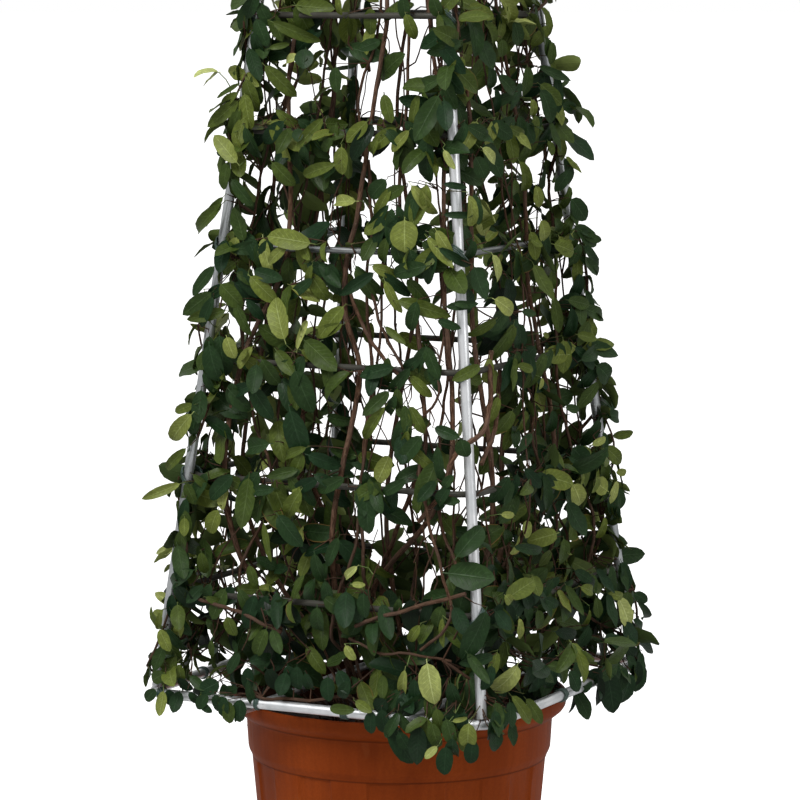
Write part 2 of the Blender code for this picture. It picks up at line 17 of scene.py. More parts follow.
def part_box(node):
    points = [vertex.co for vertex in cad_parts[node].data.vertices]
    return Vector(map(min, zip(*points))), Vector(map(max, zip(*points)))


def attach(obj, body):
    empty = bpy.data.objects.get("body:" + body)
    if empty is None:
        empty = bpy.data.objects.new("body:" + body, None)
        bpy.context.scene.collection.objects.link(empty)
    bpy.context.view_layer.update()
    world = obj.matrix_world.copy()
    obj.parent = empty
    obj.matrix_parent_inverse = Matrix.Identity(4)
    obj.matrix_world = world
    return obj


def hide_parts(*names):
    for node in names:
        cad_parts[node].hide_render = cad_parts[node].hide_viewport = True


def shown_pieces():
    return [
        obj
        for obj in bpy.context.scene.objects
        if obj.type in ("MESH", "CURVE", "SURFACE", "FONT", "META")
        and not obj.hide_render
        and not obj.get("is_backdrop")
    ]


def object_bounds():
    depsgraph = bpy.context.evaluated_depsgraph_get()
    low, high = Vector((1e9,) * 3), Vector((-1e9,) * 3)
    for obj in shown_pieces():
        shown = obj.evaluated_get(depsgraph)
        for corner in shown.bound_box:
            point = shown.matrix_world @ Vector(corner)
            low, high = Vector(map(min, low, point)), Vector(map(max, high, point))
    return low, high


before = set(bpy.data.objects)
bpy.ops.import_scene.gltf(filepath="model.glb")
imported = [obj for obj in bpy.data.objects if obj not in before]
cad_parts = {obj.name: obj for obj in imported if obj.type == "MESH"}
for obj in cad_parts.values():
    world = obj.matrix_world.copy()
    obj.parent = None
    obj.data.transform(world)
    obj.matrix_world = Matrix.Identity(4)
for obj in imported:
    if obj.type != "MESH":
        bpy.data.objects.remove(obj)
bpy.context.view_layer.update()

# %% [markdown]
# ## Camera
# A portrait of a tall plant is taken from a few metres away with a long lens, so that the
# frame's uprights keep their even taper. The camera stands at chest height, looks along +Y and
# pitches down a little. Shifting the lens instead would also frame the plant, but a pitch keeps
# every other view of the plant simple.

# %% Camera
scene = bpy.context.scene
PITCH = 6.7387


def add_object(name, data):
    thing = bpy.data.objects.new(name, data)
    scene.collection.objects.link(thing)
    return thing


camera_data = bpy.data.cameras.new("camera")
camera_data.sensor_width = 36.0
camera_data.lens = 165.75
camera = add_object("camera", camera_data)
camera.location = (0.0006, -4.33, 1.2253)
camera.rotation_euler = (math.radians(90.0 - PITCH), 0.0, 0.0)
scene.camera = camera
print("camera", tuple(round(value, 3) for value in camera.location))

# %% [markdown]
# ## A short way to write node trees
# Shader and geometry trees are both nodes and links. One helper that adds a node, sets its
# properties, and fills each input with either a value or another node's output keeps every tree
# below readable from top to bottom.

# %% Helpers for node trees


def find_socket(sockets, key):
    """The socket at an index, or the first one in use that has this name."""
    if isinstance(key, int):
        return sockets[key]
    return next(socket for socket in sockets if socket.name == key and socket.enabled)


def add_node(tree, kind, inputs=None, out=0, **settings):
    """Adds a node and returns one of its outputs. Inputs are values or outputs of other nodes."""
    node = tree.nodes.new(kind)
    node.location = (220.0 * len(tree.nodes), 0.0)
    for label, value in settings.items():
        setattr(node, label, value)
    for key, value in (inputs or {}).items():
        socket = find_socket(node.inputs, key)
        if isinstance(value, bpy.types.NodeSocket):
            tree.links.new(value, socket)
        else:
            socket.default_value = value
    return find_socket(node.outputs, out) if node.outputs else None


def calc(tree, operation, a, b=0.0, clamp=False):
    return add_node(tree, "ShaderNodeMath", {0: a, 1: b}, operation=operation, use_clamp=clamp)


def product(tree, a, b):
    return calc(tree, "MULTIPLY", a, b)


def vector_calc(tree, operation, a, b=(0.0, 0.0, 0.0)):
    return add_node(tree, "ShaderNodeVectorMath", {0: a, 1: b}, operation=operation)


def scaled(tree, vector, factor):
    return add_node(tree, "ShaderNodeVectorMath", {0: vector, 3: factor}, operation="SCALE")


def mix_colour(tree, factor, a, b):
    """Mixes two colours, each a node's output or its red, green and blue."""
    a, b = ((*colour, 1.0) if isinstance(colour, tuple) else colour for colour in (a, b))
    inputs = {"Factor": factor, "A": a, "B": b}
    return add_node(tree, "ShaderNodeMix", inputs, "Result", data_type="RGBA")


def stain(tree, colour, mask, strength, over):
    """Lays the colour over on the first one where a mask says, at a strength."""
    return mix_colour(tree, product(tree, mask, strength), colour, over)


def between(tree, value, low, high, to_low=0.0, to_high=1.0):
    """Value's place between low and high, as a smooth step from to_low to to_high."""
    inputs = {0: value, 1: low, 2: high, 3: to_low, 4: to_high}
    return add_node(tree, "ShaderNodeMapRange", inputs, interpolation_type="SMOOTHSTEP")


def noise_field(tree, vector, scale, detail):
    inputs = {"Vector": vector, "Scale": scale, "Detail": detail}
    return add_node(tree, "ShaderNodeTexNoise", inputs)


def object_place(tree):
    return add_node(tree, "ShaderNodeTexCoord", out="Object")


def height_of(tree, place):
    return add_node(tree, "ShaderNodeSeparateXYZ", {0: place}, "Z")


def read_attribute(tree, name):
    return add_node(tree, "ShaderNodeAttribute", out="Fac", attribute_name=name)


def round_and_along(tree, stretch):
    """A point on a tube as a vector: its turn round the tube, then its way along, stretched."""
    turn_angle = product(tree, read_attribute(tree, "around"), 2 * math.pi)
    spot = {0: calc(tree, "COSINE", turn_angle), 1: calc(tree, "SINE", turn_angle)}
    spot[2] = product(tree, read_attribute(tree, "along"), stretch)
    return add_node(tree, "ShaderNodeCombineXYZ", spot)


def ramp(tree, factor, stops):
    """A colour ramp through (place, colour) stops."""
    colour = add_node(tree, "ShaderNodeValToRGB", {0: factor})
    elements = colour.node.color_ramp.elements
    while len(elements) < len(stops):
        elements.new(0.5)
    for element, (place, value) in zip(elements, stops):
        element.position = place
        element.color = (*value, 1.0)
    return colour


def new_group(name, inputs, outputs):
    """A shader node group with named inputs and outputs: its tree, its start and its end."""
    group = bpy.data.node_groups.new(name, "ShaderNodeTree")
    for label, default in inputs.items():
        kind = "NodeSocketFloat" if isinstance(default, float) else "NodeSocketVector"
        socket = group.interface.new_socket(label, in_out="INPUT", socket_type=kind)
        socket.default_value = default
    for label in outputs:
        group.interface.new_socket(label, in_out="OUTPUT", socket_type="NodeSocketFloat")
    start, end = group.nodes.new("NodeGroupInput"), group.nodes.new("NodeGroupOutput")
    return group, start.outputs, end.inputs


def place_group(tree, group, vector, **sizes):
    """Places a group in a material, with its own sizes, and returns its outputs."""
    node = tree.nodes.new("ShaderNodeGroup")
    node.node_tree = group
    node.location = (220.0 * len(tree.nodes), -300.0)
    tree.links.new(vector, node.inputs["Vector"])
    for label, value in sizes.items():
        node.inputs[label.replace("_", " ")].default_value = value
    return node.outputs


def raise_relief(tree, shader, height, strength, depth):
    """Bumps a finish by a height that stands for depth metres."""
    inputs = {"Strength": strength, "Distance": depth, "Height": height}
    tree.links.new(add_node(tree, "ShaderNodeBump", inputs), shader["Normal"])


def new_material(name, **constants):
    """A material, its tree and its shader, with the numbers that are the same all over."""
    material = bpy.data.materials.new(name)
    material.use_nodes = True
    shader = material.node_tree.nodes["Principled BSDF"]
    for label, value in constants.items():
        shader.inputs[label.replace("_", " ")].default_value = value
    return material, material.node_tree, shader.inputs


print("helpers ready")

# %% [markdown]
# ## Light and floor
# A plant like this is shown in an open shade: soft light comes from the whole sky, more from
# above than from the sides, with one big source above the viewer's left shoulder. The world
# gives the first: it brightens towards the zenith, so faces that look up are lit and the inside
# of the plant falls dark. What the camera sees behind the plant is plain white. The floor is a
# wide pale disc, made large so that its edge lies behind the horizon.

# %% Light and floor
scene.view_settings.view_transform = "Standard"
SKY_LOW, SKY_HIGH = 0.17, 1.32
world = bpy.data.worlds.new("open_shade")
world.use_nodes = True
scene.world = world
sky = world.node_tree
heading = add_node(sky, "ShaderNodeTexCoord", out="Generated")
inputs = {"Value": height_of(sky, heading), "From Min": -0.2, "From Max": 1.0}
zenith = add_node(sky, "ShaderNodeMapRange", {**inputs, "To Min": SKY_LOW, "To Max": SKY_HIGH})
sky_light = sky.nodes["Background"]
sky_light.inputs["Strength"].default_value = 1.0
sky.links.new(zenith, sky_light.inputs["Color"])
backdrop = add_node(sky, "ShaderNodeBackground", {"Color": (1.0, 1.0, 1.0, 1.0)})
seen = add_node(sky, "ShaderNodeLightPath", out="Is Camera Ray")
chosen_sky = add_node(sky, "ShaderNodeMixShader", {0: seen, 1: sky_light.outputs[0], 2: backdrop})
sky.links.new(chosen_sky, sky.nodes["World Output"].inputs["Surface"])


def add_softbox(name, place, target, size, power):
    """A square area light at place that faces target."""
    data = bpy.data.lights.new(name, "AREA")
    data.size = size
    data.energy = power
    light = add_object(name, data)
    light.location = place
    light.rotation_euler = (Vector(target) - Vector(place)).to_track_quat("-Z", "Y").to_euler()


add_softbox("key_light", (-1.8, -2.8, 4.2), target=(0.0, 0.0, 1.0), size=1.6, power=150.0)
add_softbox("fill_light", (3.0, -2.4, 2.2), target=(0.0, 0.0, 0.9), size=2.0, power=22.0)

FLOOR_RADIUS = 90.0
floor_mesh = bpy.data.meshes.new("floor")
floor_shell = bmesh.new()
bmesh.ops.create_circle(floor_shell, cap_ends=True, segments=96, radius=FLOOR_RADIUS)
floor_shell.to_mesh(floor_mesh)
floor_shell.free()
floor = add_object("floor", floor_mesh)
floor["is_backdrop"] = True

# %% [markdown]
# ## Effects that several finishes share
# Plastic, metal, bark and soil all need the same few things: cloudy changes of tone, streaks that
# run one way, small specks, and dust that settles low down. Each is built once as a node group
# and placed in a material with its own scale. A group only puts out masks and heights, so the
# surface itself stays in the material.

# %% Group: clouds
ANYWHERE = {"Vector": (0.0, 0.0, 0.0)}
clouds, g_in, g_out = new_group(
    "clouds", {**ANYWHERE, "Scale": 10.0, "Low": 0.4, "High": 0.6}, ("Mask", "Height")
)
tree = clouds
field = noise_field(tree, g_in["Vector"], g_in["Scale"], 5.0)
tree.links.new(between(tree, field, g_in["Low"], g_in["High"]), g_out["Mask"])
tree.links.new(field, g_out["Height"])

# %% Group: streaks
streaks, g_in, g_out = new_group(
    "streaks",
    {**ANYWHERE, "Stretch": (1.0, 1.0, 0.05), "Scale": 100.0, "Low": 0.4, "High": 0.6},
    ("Mask", "Height"),
)
tree = streaks
stretched = vector_calc(tree, "MULTIPLY", g_in["Vector"], g_in["Stretch"])
field = noise_field(tree, stretched, g_in["Scale"], 4.0)
tree.links.new(between(tree, field, g_in["Low"], g_in["High"]), g_out["Mask"])
tree.links.new(field, g_out["Height"])

# %% Group: specks
specks, g_in, g_out = new_group(
    "specks", {**ANYWHERE, "Scale": 200.0, "Size": 0.2, "Share": 0.5}, ("Mask",)
)
tree = specks
cells = add_node(tree, "ShaderNodeTexVoronoi", {"Vector": g_in["Vector"], "Scale": g_in["Scale"]})
cell_colour = find_socket(cells.node.outputs, "Color")
chosen = calc(tree, "LESS_THAN", cell_colour, g_in["Share"])
dot = between(tree, cells, g_in["Size"], product(tree, g_in["Size"], 0.4))
tree.links.new(product(tree, dot, chosen), g_out["Mask"])

# %% Group: settled dust
settled_dust, g_in, g_out = new_group(
    "settled_dust",
    {**ANYWHERE, "Clear From": 0.3, "Thick At": 0.0, "Scale": 30.0},
    ("Mask",),
)
tree = settled_dust
depth = between(tree, height_of(tree, g_in["Vector"]), g_in["Clear From"], g_in["Thick At"])
patches = noise_field(tree, g_in["Vector"], g_in["Scale"], 6.0)
blotches = between(tree, patches, 0.35, 0.65)
tree.links.new(product(tree, depth, blotches), g_out["Mask"])

# %% Group: leaf veins
leaf_veins, g_in, g_out = new_group(
    "leaf_veins",
    {**ANYWHERE, "Vein Count": 9.0, "Sweep": 0.22, "Midrib Width": 0.085},
    ("Midrib", "Veins", "Height", "Rim"),
)
tree = leaf_veins
along = add_node(tree, "ShaderNodeSeparateXYZ", {0: g_in["Vector"]}, "X")
across = add_node(tree, "ShaderNodeSeparateXYZ", {0: g_in["Vector"]}, "Y")
off_middle = product(tree, calc(tree, "ABSOLUTE", calc(tree, "SUBTRACT", across, 0.5)), 2.0)
midrib = between(tree, off_middle, g_in["Midrib Width"], 0.0)
swept = calc(tree, "SUBTRACT", along, product(tree, off_middle, g_in["Sweep"]))
wave = calc(tree, "PINGPONG", product(tree, swept, g_in["Vein Count"]), 0.5)
vein = product(tree, between(tree, wave, 0.10, 0.0), between(tree, off_middle, 0.95, 0.5))
relief = calc(tree, "ADD", product(tree, vein, 0.4), midrib)
tree.links.new(midrib, g_out["Midrib"])
tree.links.new(vein, g_out["Veins"])
tree.links.new(relief, g_out["Height"])
tree.links.new(between(tree, off_middle, 0.86, 1.0), g_out["Rim"])
print("groups", [group.name for group in bpy.data.node_groups])

# %% [markdown]
# ## Finish: pale floor
# Even a plain floor isn't one flat colour: a very faint cloudiness keeps it from looking like
# paper cut out behind the pot.

# %% Material: floor

pale_floor, tree, shader = new_material("pale_floor", Roughness=0.9, Specular_IOR_Level=0.0)
shade = place_group(tree, clouds, object_place(tree), Scale=0.8, Low=0.2, High=0.8)
colour = mix_colour(tree, shade["Mask"], (0.46, 0.46, 0.46), (0.49, 0.49, 0.49))
tree.links.new(colour, shader["Base Color"])
glow = add_node(tree, "ShaderNodeLightPath", out="Is Camera Ray")
glow = mix_colour(tree, glow, (0.0, 0.0, 0.0), (1.0, 1.0, 1.0))
tree.links.new(glow, shader["Emission Color"])
shader["Emission Strength"].default_value = 0.80
floor.data.materials.append(pale_floor)
print("floor finish", pale_floor.name)

# %% [markdown]
# ## Finish: terracotta-coloured plastic
# A nursery pot is blow-moulded or injection-moulded polypropylene, dyed the colour of fired clay.
# Its skin is satin, with faint upright flow marks from the mould, pale scuffs where pots rub
# together, and dust and dried splashes low down. The two creases where the band meets the lip
# and the body are darkened with painted shade, and the inner wall is made nearly black with
# painted shade. An image would be the quick way to get these, but masks made of noise work at
# any distance and need no unwrapping.

# %% Material: terracotta plastic
CREASES = ((0.3402, 0.0022), (0.2900, 0.0016))  # each a height and a half width
# How dark the painted shade is in the creases and on the inner wall.
CREASE_SHADE, INNER_WALL_SHADE = 0.60, 0.85
terracotta_plastic, tree, shader = new_material("terracotta_plastic", Specular_IOR_Level=0.04)
place = object_place(tree)
flow = place_group(tree, streaks, place, Stretch=(1.0, 1.0, 0.03), Scale=150.0, Low=0.35, High=0.7)
broad = place_group(tree, streaks, place, Stretch=(1.0, 1.0, 0.25), Scale=12.0, Low=0.35, High=0.65)
uneven = (1.0, 1.0, 0.35)
scuffs = place_group(tree, streaks, place, Stretch=uneven, Scale=60.0, Low=0.62, High=0.74)
grit = place_group(tree, specks, place, Scale=260.0, Size=0.22, Share=0.14)
dust = place_group(tree, settled_dust, place, Clear_From=0.16, Thick_At=0.0, Scale=22.0)
colour = mix_colour(tree, broad["Mask"], (0.172, 0.0290, 0.0042), (0.228, 0.0410, 0.0062))
colour = stain(tree, colour, flow["Mask"], 0.22, (0.125, 0.0210, 0.0040))
grain = place_group(tree, clouds, place, Scale=380.0, Low=0.35, High=0.65)
colour = stain(tree, colour, grain["Mask"], 0.25, (0.125, 0.0210, 0.0040))
colour = stain(tree, colour, scuffs["Mask"], 0.16, (0.30, 0.085, 0.028))
colour = stain(tree, colour, grit["Mask"], 0.35, (0.06, 0.020, 0.008))
colour = stain(tree, colour, dust["Mask"], 0.35, (0.24, 0.15, 0.10))
height = height_of(tree, place)
# Painted shade: a dark line along each crease, under the lip and under the band.
for crease_z, half_width in CREASES:
    off_crease = calc(tree, "ABSOLUTE", calc(tree, "SUBTRACT", height, crease_z))
    crease_shade = between(tree, off_crease, half_width, half_width * 0.25, 0.0, CREASE_SHADE)
    colour = mix_colour(tree, crease_shade, colour, (0.050, 0.0100, 0.0030))
# Painted shade on the inner wall: faces that turn towards the axis are made nearly black.
from_axis = vector_calc(tree, "MULTIPLY", place, (1.0, 1.0, 0.0))
facing = add_node(tree, "ShaderNodeNewGeometry", out="Normal")
inputs = {0: facing, 1: from_axis}
turned_out = add_node(tree, "ShaderNodeVectorMath", inputs, "Value", operation="DOT_PRODUCT")
inner_wall_shade = between(tree, turned_out, -0.02, -0.10, 0.0, INNER_WALL_SHADE)
colour = mix_colour(tree, inner_wall_shade, colour, (0.018, 0.009, 0.005))
tree.links.new(colour, shader["Base Color"])
rough = calc(tree, "ADD", product(tree, dust["Mask"], 0.3), 0.48)
tree.links.new(calc(tree, "ADD", rough, product(tree, scuffs["Mask"], 0.12)), shader["Roughness"])
raise_relief(tree, shader, flow["Height"], 0.15, 0.002)
print("pot finish", terracotta_plastic.name)

# %% [markdown]
# ## Finishes: tube and wire, bright to dark
# The frame is thin steel tube with a bright zinc coat. New zinc is shiny and slightly blue. In
# the open it dulls in clouds, keeps fine drawing lines along the tube, and collects small dark
# specks. Metal has almost no colour of its own, so the roughness does most of the work here.
# The three uprights other than the front one get a darker copy of the zinc, which is painted
# shade, and the hoops get darker copies still, painted shade too, nearly black where they lie
# among the shoots. So one function makes all four finishes.

# %% Materials: tube and wire


def make_metal_finish(name, bright, dulled, line, metallic=0.80, shine=0.5):
    """A zinc finish between a bright and a dulled tone, with drawing lines and dark specks."""
    material, tree, shader = new_material(name, Metallic=metallic, Specular_IOR_Level=shine)
    place = object_place(tree)
    dull = place_group(tree, clouds, place, Scale=28.0, Low=0.38, High=0.68)
    pits = place_group(tree, specks, place, Scale=420.0, Size=0.28, Share=0.16)
    lines = place_group(tree, clouds, round_and_along(tree, 2.0), Scale=9.0, Low=0.35, High=0.7)
    colour = mix_colour(tree, dull["Mask"], bright, dulled)
    colour = stain(tree, colour, lines["Mask"], 0.3, line)
    colour = stain(tree, colour, pits["Mask"], 0.6, (0.16, 0.16, 0.15))
    tree.links.new(colour, shader["Base Color"])
    tree.links.new(between(tree, dull["Height"], 0.3, 0.7, 0.28, 0.46), shader["Roughness"])
    raise_relief(tree, shader, lines["Height"], 0.1, 0.0005)
    return material


bright_tube = make_metal_finish(
    "bright_tube", (0.82, 0.83, 0.84), (0.58, 0.60, 0.61), (0.45, 0.46, 0.48)
)
# Painted shade: a dark grey copy of the zinc, for the one hoop that shows.
dull_wire = make_metal_finish(
    "dull_wire", (0.28, 0.29, 0.29), (0.15, 0.16, 0.16), (0.10, 0.11, 0.11)
)
# Painted shade: a darker copy of the bright zinc, for the three uprights other than the front one.
worn_tube = make_metal_finish(
    "worn_tube", (0.56, 0.58, 0.59), (0.36, 0.38, 0.39), (0.24, 0.25, 0.26)
)
# Painted shade: nearly black and not metallic, for the hoops hidden among the shoots.
dark_wire = make_metal_finish(
    "dark_wire", (0.060, 0.058, 0.048), (0.032, 0.030, 0.024), (0.028, 0.025, 0.02), 0.0, 0.1
)
print("metal finishes", bright_tube.name, worn_tube.name, dull_wire.name, dark_wire.name)

# %% [markdown]
# ## Finish: soft tie tape
# The ties are soft grey-green plastic tape, the kind that stretches as a stem thickens. It is
# satin, a little paler where it is stretched, and dusty.

# %% Material: tie tape
tie_tape, tree, shader = new_material("tie_tape", Roughness=0.45)
place = object_place(tree)
stretch_marks = place_group(tree, clouds, place, Scale=240.0, Low=0.4, High=0.7)
dusting = place_group(tree, clouds, place, Scale=45.0, Low=0.45, High=0.7)
colour = mix_colour(tree, stretch_marks["Mask"], (0.020, 0.048, 0.036), (0.045, 0.085, 0.068))
colour = stain(tree, colour, dusting["Mask"], 0.5, (0.12, 0.14, 0.12))
tree.links.new(colour, shader["Base Color"])
tree.links.new(between(tree, dusting["Height"], 0.3, 0.7, 0.35, 0.6), shader["Roughness"])
raise_relief(tree, shader, stretch_marks["Height"], 0.3, 0.0004)
print("tie finish", tie_tape.name)

# %% [markdown]
# ## Finish: bark
# Star jasmine's wood is reddish brown. Old stems are greyer and furrowed lengthways, young twigs
# are smooth and warm, and all of them carry small pale pores. The furrows have to follow each
# stem as it bends, so they read how far along and how far round the stem a point is, which the
# tree that grows the stems stores on the mesh.

# %% Material: bark
bark, tree, shader = new_material("bark", Roughness=0.80, Specular_IOR_Level=0.04)
place = object_place(tree)
furrows = place_group(tree, clouds, round_and_along(tree, 45.0), Scale=2.6, Low=0.38, High=0.62)
blotch = place_group(tree, clouds, place, Scale=30.0, Low=0.35, High=0.65)
pores = place_group(tree, specks, place, Scale=380.0, Size=0.3, Share=0.2)
colour = mix_colour(tree, furrows["Mask"], (0.044, 0.021, 0.012), (0.138, 0.076, 0.047))
colour = stain(tree, colour, blotch["Mask"], 0.5, (0.102, 0.070, 0.055))
colour = stain(tree, colour, pores["Mask"], 0.7, (0.30, 0.22, 0.16))
slender = between(tree, read_attribute(tree, "thickness"), 0.0034, 0.0014)
colour = stain(tree, colour, slender, 0.42, (0.020, 0.012, 0.008))
green_wood = between(tree, read_attribute(tree, "young"), 0.55, 0.95)
colour = mix_colour(tree, green_wood, colour, (0.10, 0.15, 0.045))
tree.links.new(colour, shader["Base Color"])
raise_relief(tree, shader, furrows["Height"], 0.5, 0.0008)
print("bark finish", bark.name)

# %% [markdown]
# ## Finish: potting soil and bark chips
# The pot holds a peat mix: nearly black where it is damp, browner where it has dried, with coarse
# crumbs. The chips on top are the same finish made warmer and drier.

# %% Materials: soil and chips


def make_soil_finish(name, damp, dry, speck, scale):
    """An earthy finish between a damp and a dry colour, with pale specks."""
    material, tree, shader = new_material(name, Roughness=0.95)
    place = object_place(tree)
    patches = place_group(tree, clouds, place, Scale=scale, Low=0.4, High=0.62)
    crumbs = place_group(tree, clouds, place, Scale=scale * 14, Low=0.4, High=0.6)
    grains = place_group(tree, specks, place, Scale=scale * 12, Size=0.3, Share=0.1)
    colour = mix_colour(tree, patches["Mask"], damp, dry)
    colour = stain(tree, colour, crumbs["Mask"], 0.6, damp)
    colour = stain(tree, colour, grains["Mask"], 0.7, speck)
    tree.links.new(colour, shader["Base Color"])
    tree.links.new(between(tree, patches["Height"], 0.3, 0.7, 0.8, 0.98), shader["Roughness"])
    raise_relief(tree, shader, crumbs["Height"], 0.8, 0.002)
    return material


potting_soil = make_soil_finish(
    "potting_soil", (0.010, 0.007, 0.005), (0.040, 0.026, 0.017), (0.20, 0.17, 0.13), 26.0
)
bark_chips = make_soil_finish(
    "bark_chips", (0.040, 0.020, 0.011), (0.125, 0.066, 0.036), (0.24, 0.17, 0.11), 60.0
)
print("soil finishes", potting_soil.name, bark_chips.name)

# %% [markdown]
# ## Finish: leaves
# A star jasmine leaf is leathery and glossy. Grown leaves are a deep, slightly blue green with a
# paler midrib, young ones are a fresh yellow-green, and undersides are pale and matt. Every leaf
# differs a little. Each leaf carries two numbers, how young it is and a tone of its own, and the
# colour runs through a ramp from old to young, so one material covers the whole plant. The
# oldest end of the ramp is nearly black, which is painted shade, and leaves low down by the pot's
# rim are made darker, painted shade as well.

# %% Material: leaf


def shifted(tree, colour, value, saturation=1.0):
    """A colour made brighter or darker, and paler where its saturation is under one."""
    inputs = {"Saturation": saturation, "Value": value, "Color": colour}
    return add_node(tree, "ShaderNodeHueSaturation", inputs)


leaf_skin, tree, shader = new_material("leaf_skin", Specular_IOR_Level=0.10)
leaf_map = add_node(tree, "ShaderNodeUVMap", uv_map="leaf_map")
veins = place_group(tree, leaf_veins, leaf_map)
place = object_place(tree)
mottle = place_group(tree, clouds, place, Scale=55.0, Low=0.3, High=0.7)
young = read_attribute(tree, "young")
tone = read_attribute(tree, "tone")
age = calc(tree, "ADD", young, product(tree, calc(tree, "SUBTRACT", tone, 0.5), 0.34))
# Painted shade: leaves low down by the pot's rim stay darker, and those higher up are made lighter.
rim_shade_lift = between(tree, height_of(tree, place), 0.40, 0.62, 0.0, 0.065)
age = calc(tree, "ADD", age, rim_shade_lift, clamp=True)
upper = ramp(
    tree,
    age,
    (
        # The first stop, nearly black, is painted shade for leaves deep in shadow.
        (0.0, (0.0042, 0.0100, 0.0036)),
        (0.05, (0.0090, 0.0265, 0.0095)),
        (0.25, (0.0185, 0.0405, 0.0110)),
        (0.45, (0.0440, 0.0670, 0.0105)),
        (0.64, (0.1000, 0.1270, 0.0210)),
        (0.83, (0.2200, 0.2500, 0.0620)),
        (1.0, (0.3500, 0.3900, 0.1350)),
    ),
)
darker = shifted(tree, upper, 0.72)
upper = stain(tree, upper, mottle["Mask"], 0.55, darker)
grain = place_group(tree, clouds, place, Scale=340.0, Low=0.35, High=0.65)
upper = stain(tree, upper, grain["Mask"], 0.45, darker)
brighter = shifted(tree, upper, 1.5)
flecks = place_group(tree, clouds, place, Scale=210.0, Low=0.48, High=0.66)
upper = stain(tree, upper, flecks["Mask"], 0.55, brighter)
paler = shifted(tree, upper, 2.3, 0.80)
upper = stain(tree, upper, veins["Veins"], 0.30, paler)
upper = stain(tree, upper, veins["Midrib"], 0.50, paler)
worn = product(tree, veins["Rim"], between(tree, tone, 0.9, 0.98))
upper = mix_colour(tree, worn, upper, (0.17, 0.10, 0.03))
under = ramp(
    tree,
    age,
    ((0.0, (0.026, 0.048, 0.016)), (0.6, (0.095, 0.130, 0.032)), (1.0, (0.270, 0.320, 0.090))),
)
colour = mix_colour(tree, read_attribute(tree, "underside"), upper, under)
tree.links.new(colour, shader["Base Color"])
gloss = calc(tree, "ADD", product(tree, read_attribute(tree, "underside"), 0.25), 0.34)
tree.links.new(calc(tree, "ADD", gloss, product(tree, tone, 0.10)), shader["Roughness"])
raise_relief(tree, shader, veins["Height"], 0.45, 0.0007)
print("leaf finish", leaf_skin.name)

# %% [markdown]
# ## Where the frame runs
# The plants climb the frame, so every later piece needs to ask where the frame's walls are. The
# heights and thicknesses are read from the model's own boxes. A point on the frame is given as
# a side, a height and a distance inside: sides count round from the left corner, and the
# fraction says how far along that wall.

# %% Measure the frame


def box_of(node):
    low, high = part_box(node)
    return Vector(low), Vector(high)


def middle_height(node):
    low, high = box_of(node)
    return (low.z + high.z) / 2


GAP = 0.0003
CORNERS = ("left", "front", "right", "back")
FRAME_TURN = math.radians(18.0)
RING_CORNER = 0.299
CORNER_BEND = 0.030
LEAN = 0.160
HOOP_COUNT = 11
ring_low, ring_high = box_of("base_ring")
hoop_low, hoop_high = box_of("hoop_01")
RING_Z = middle_height("base_ring")
TUBE_RADIUS = (ring_high.z - ring_low.z) / 2
HOOP_RADIUS = (hoop_high.z - hoop_low.z) / 2
HOOP_HEIGHTS = [middle_height(f"hoop_{number:02d}") for number in range(1, HOOP_COUNT + 1)]
HOOP_INSET = TUBE_RADIUS + HOOP_RADIUS + 2 * GAP
UPRIGHT_FOOT_Z = RING_Z + TUBE_RADIUS + GAP
FINIAL_Z = 2.115
STEM_INSET = 0.014
POT_HEIGHT = box_of("pot")[1].z
SOIL_TOP = box_of("soil")[1].z


def corner_radius(z):
    """Distance of the uprights' centres from the axis at height z."""
    return RING_CORNER - LEAN * (z - RING_Z)


def wall_width(z):
    """Width of a wall between its two uprights at height z."""
    return math.sqrt(2) * corner_radius(z)


def corner_direction(corner):
    """Level direction from the axis to a corner: 0 left, 1 front, 2 right, 3 back."""
    angle = FRAME_TURN + math.pi + corner * math.pi / 2
    return Vector((math.cos(angle), math.sin(angle), 0.0))


def upright_point(corner, z):
    """A point on an upright's centre line."""
    return corner_direction(corner) * corner_radius(z) + Vector((0, 0, z))


def side_normal(side):
    """Outward level direction of the wall that holds side."""
    start = corner_direction(math.floor(side))
    return (start + corner_direction(math.floor(side) + 1)).normalized()


def side_point(side, z, inset=STEM_INSET):
    """A point on the frame's walls, inset metres inside them."""
    start = corner_direction(math.floor(side))
    end = corner_direction(math.floor(side) + 1)
    along = start.lerp(end, side % 1.0) * corner_radius(z)
    return Vector((along.x, along.y, z)) - side_normal(side) * inset


print("ring at", round(RING_Z, 4), "hoops at", [round(z, 3) for z in HOOP_HEIGHTS])

# %% [markdown]
# ## Growing pieces from Geometry Nodes
# What repeats, or follows a path, is grown by a Geometry Nodes tree: its sizes are named inputs
# that are easy to change, and one tree serves many pieces. Here the tree runs on a helper
# object, its result is copied to a plain mesh, and the helper goes away, so that the finished
# piece carries no modifier.

# %% Helpers for pieces


def new_tree(name, inputs):
    """A Geometry Nodes tree with a geometry input and output, and named sizes."""
    tree = bpy.data.node_groups.new(name, "GeometryNodeTree")
    tree.interface.new_socket("Geometry", in_out="INPUT", socket_type="NodeSocketGeometry")
    for label, kind in inputs.items():
        tree.interface.new_socket(label, in_out="INPUT", socket_type="NodeSocket" + kind)
    tree.interface.new_socket("Geometry", in_out="OUTPUT", socket_type="NodeSocketGeometry")
    start = tree.nodes.new("NodeGroupInput")
    return tree, start.outputs


def end_tree(tree, geometry, material):
    """Closes a tree with smooth shading, Realize Instances and Set Material."""
    smooth = add_node(tree, "GeometryNodeSetShadeSmooth", {0: geometry})
    real = add_node(tree, "GeometryNodeRealizeInstances", {0: smooth})
    done = add_node(tree, "GeometryNodeSetMaterial", {0: real, "Material": material})
    tree.links.new(done, tree.nodes.new("NodeGroupOutput").inputs[0])


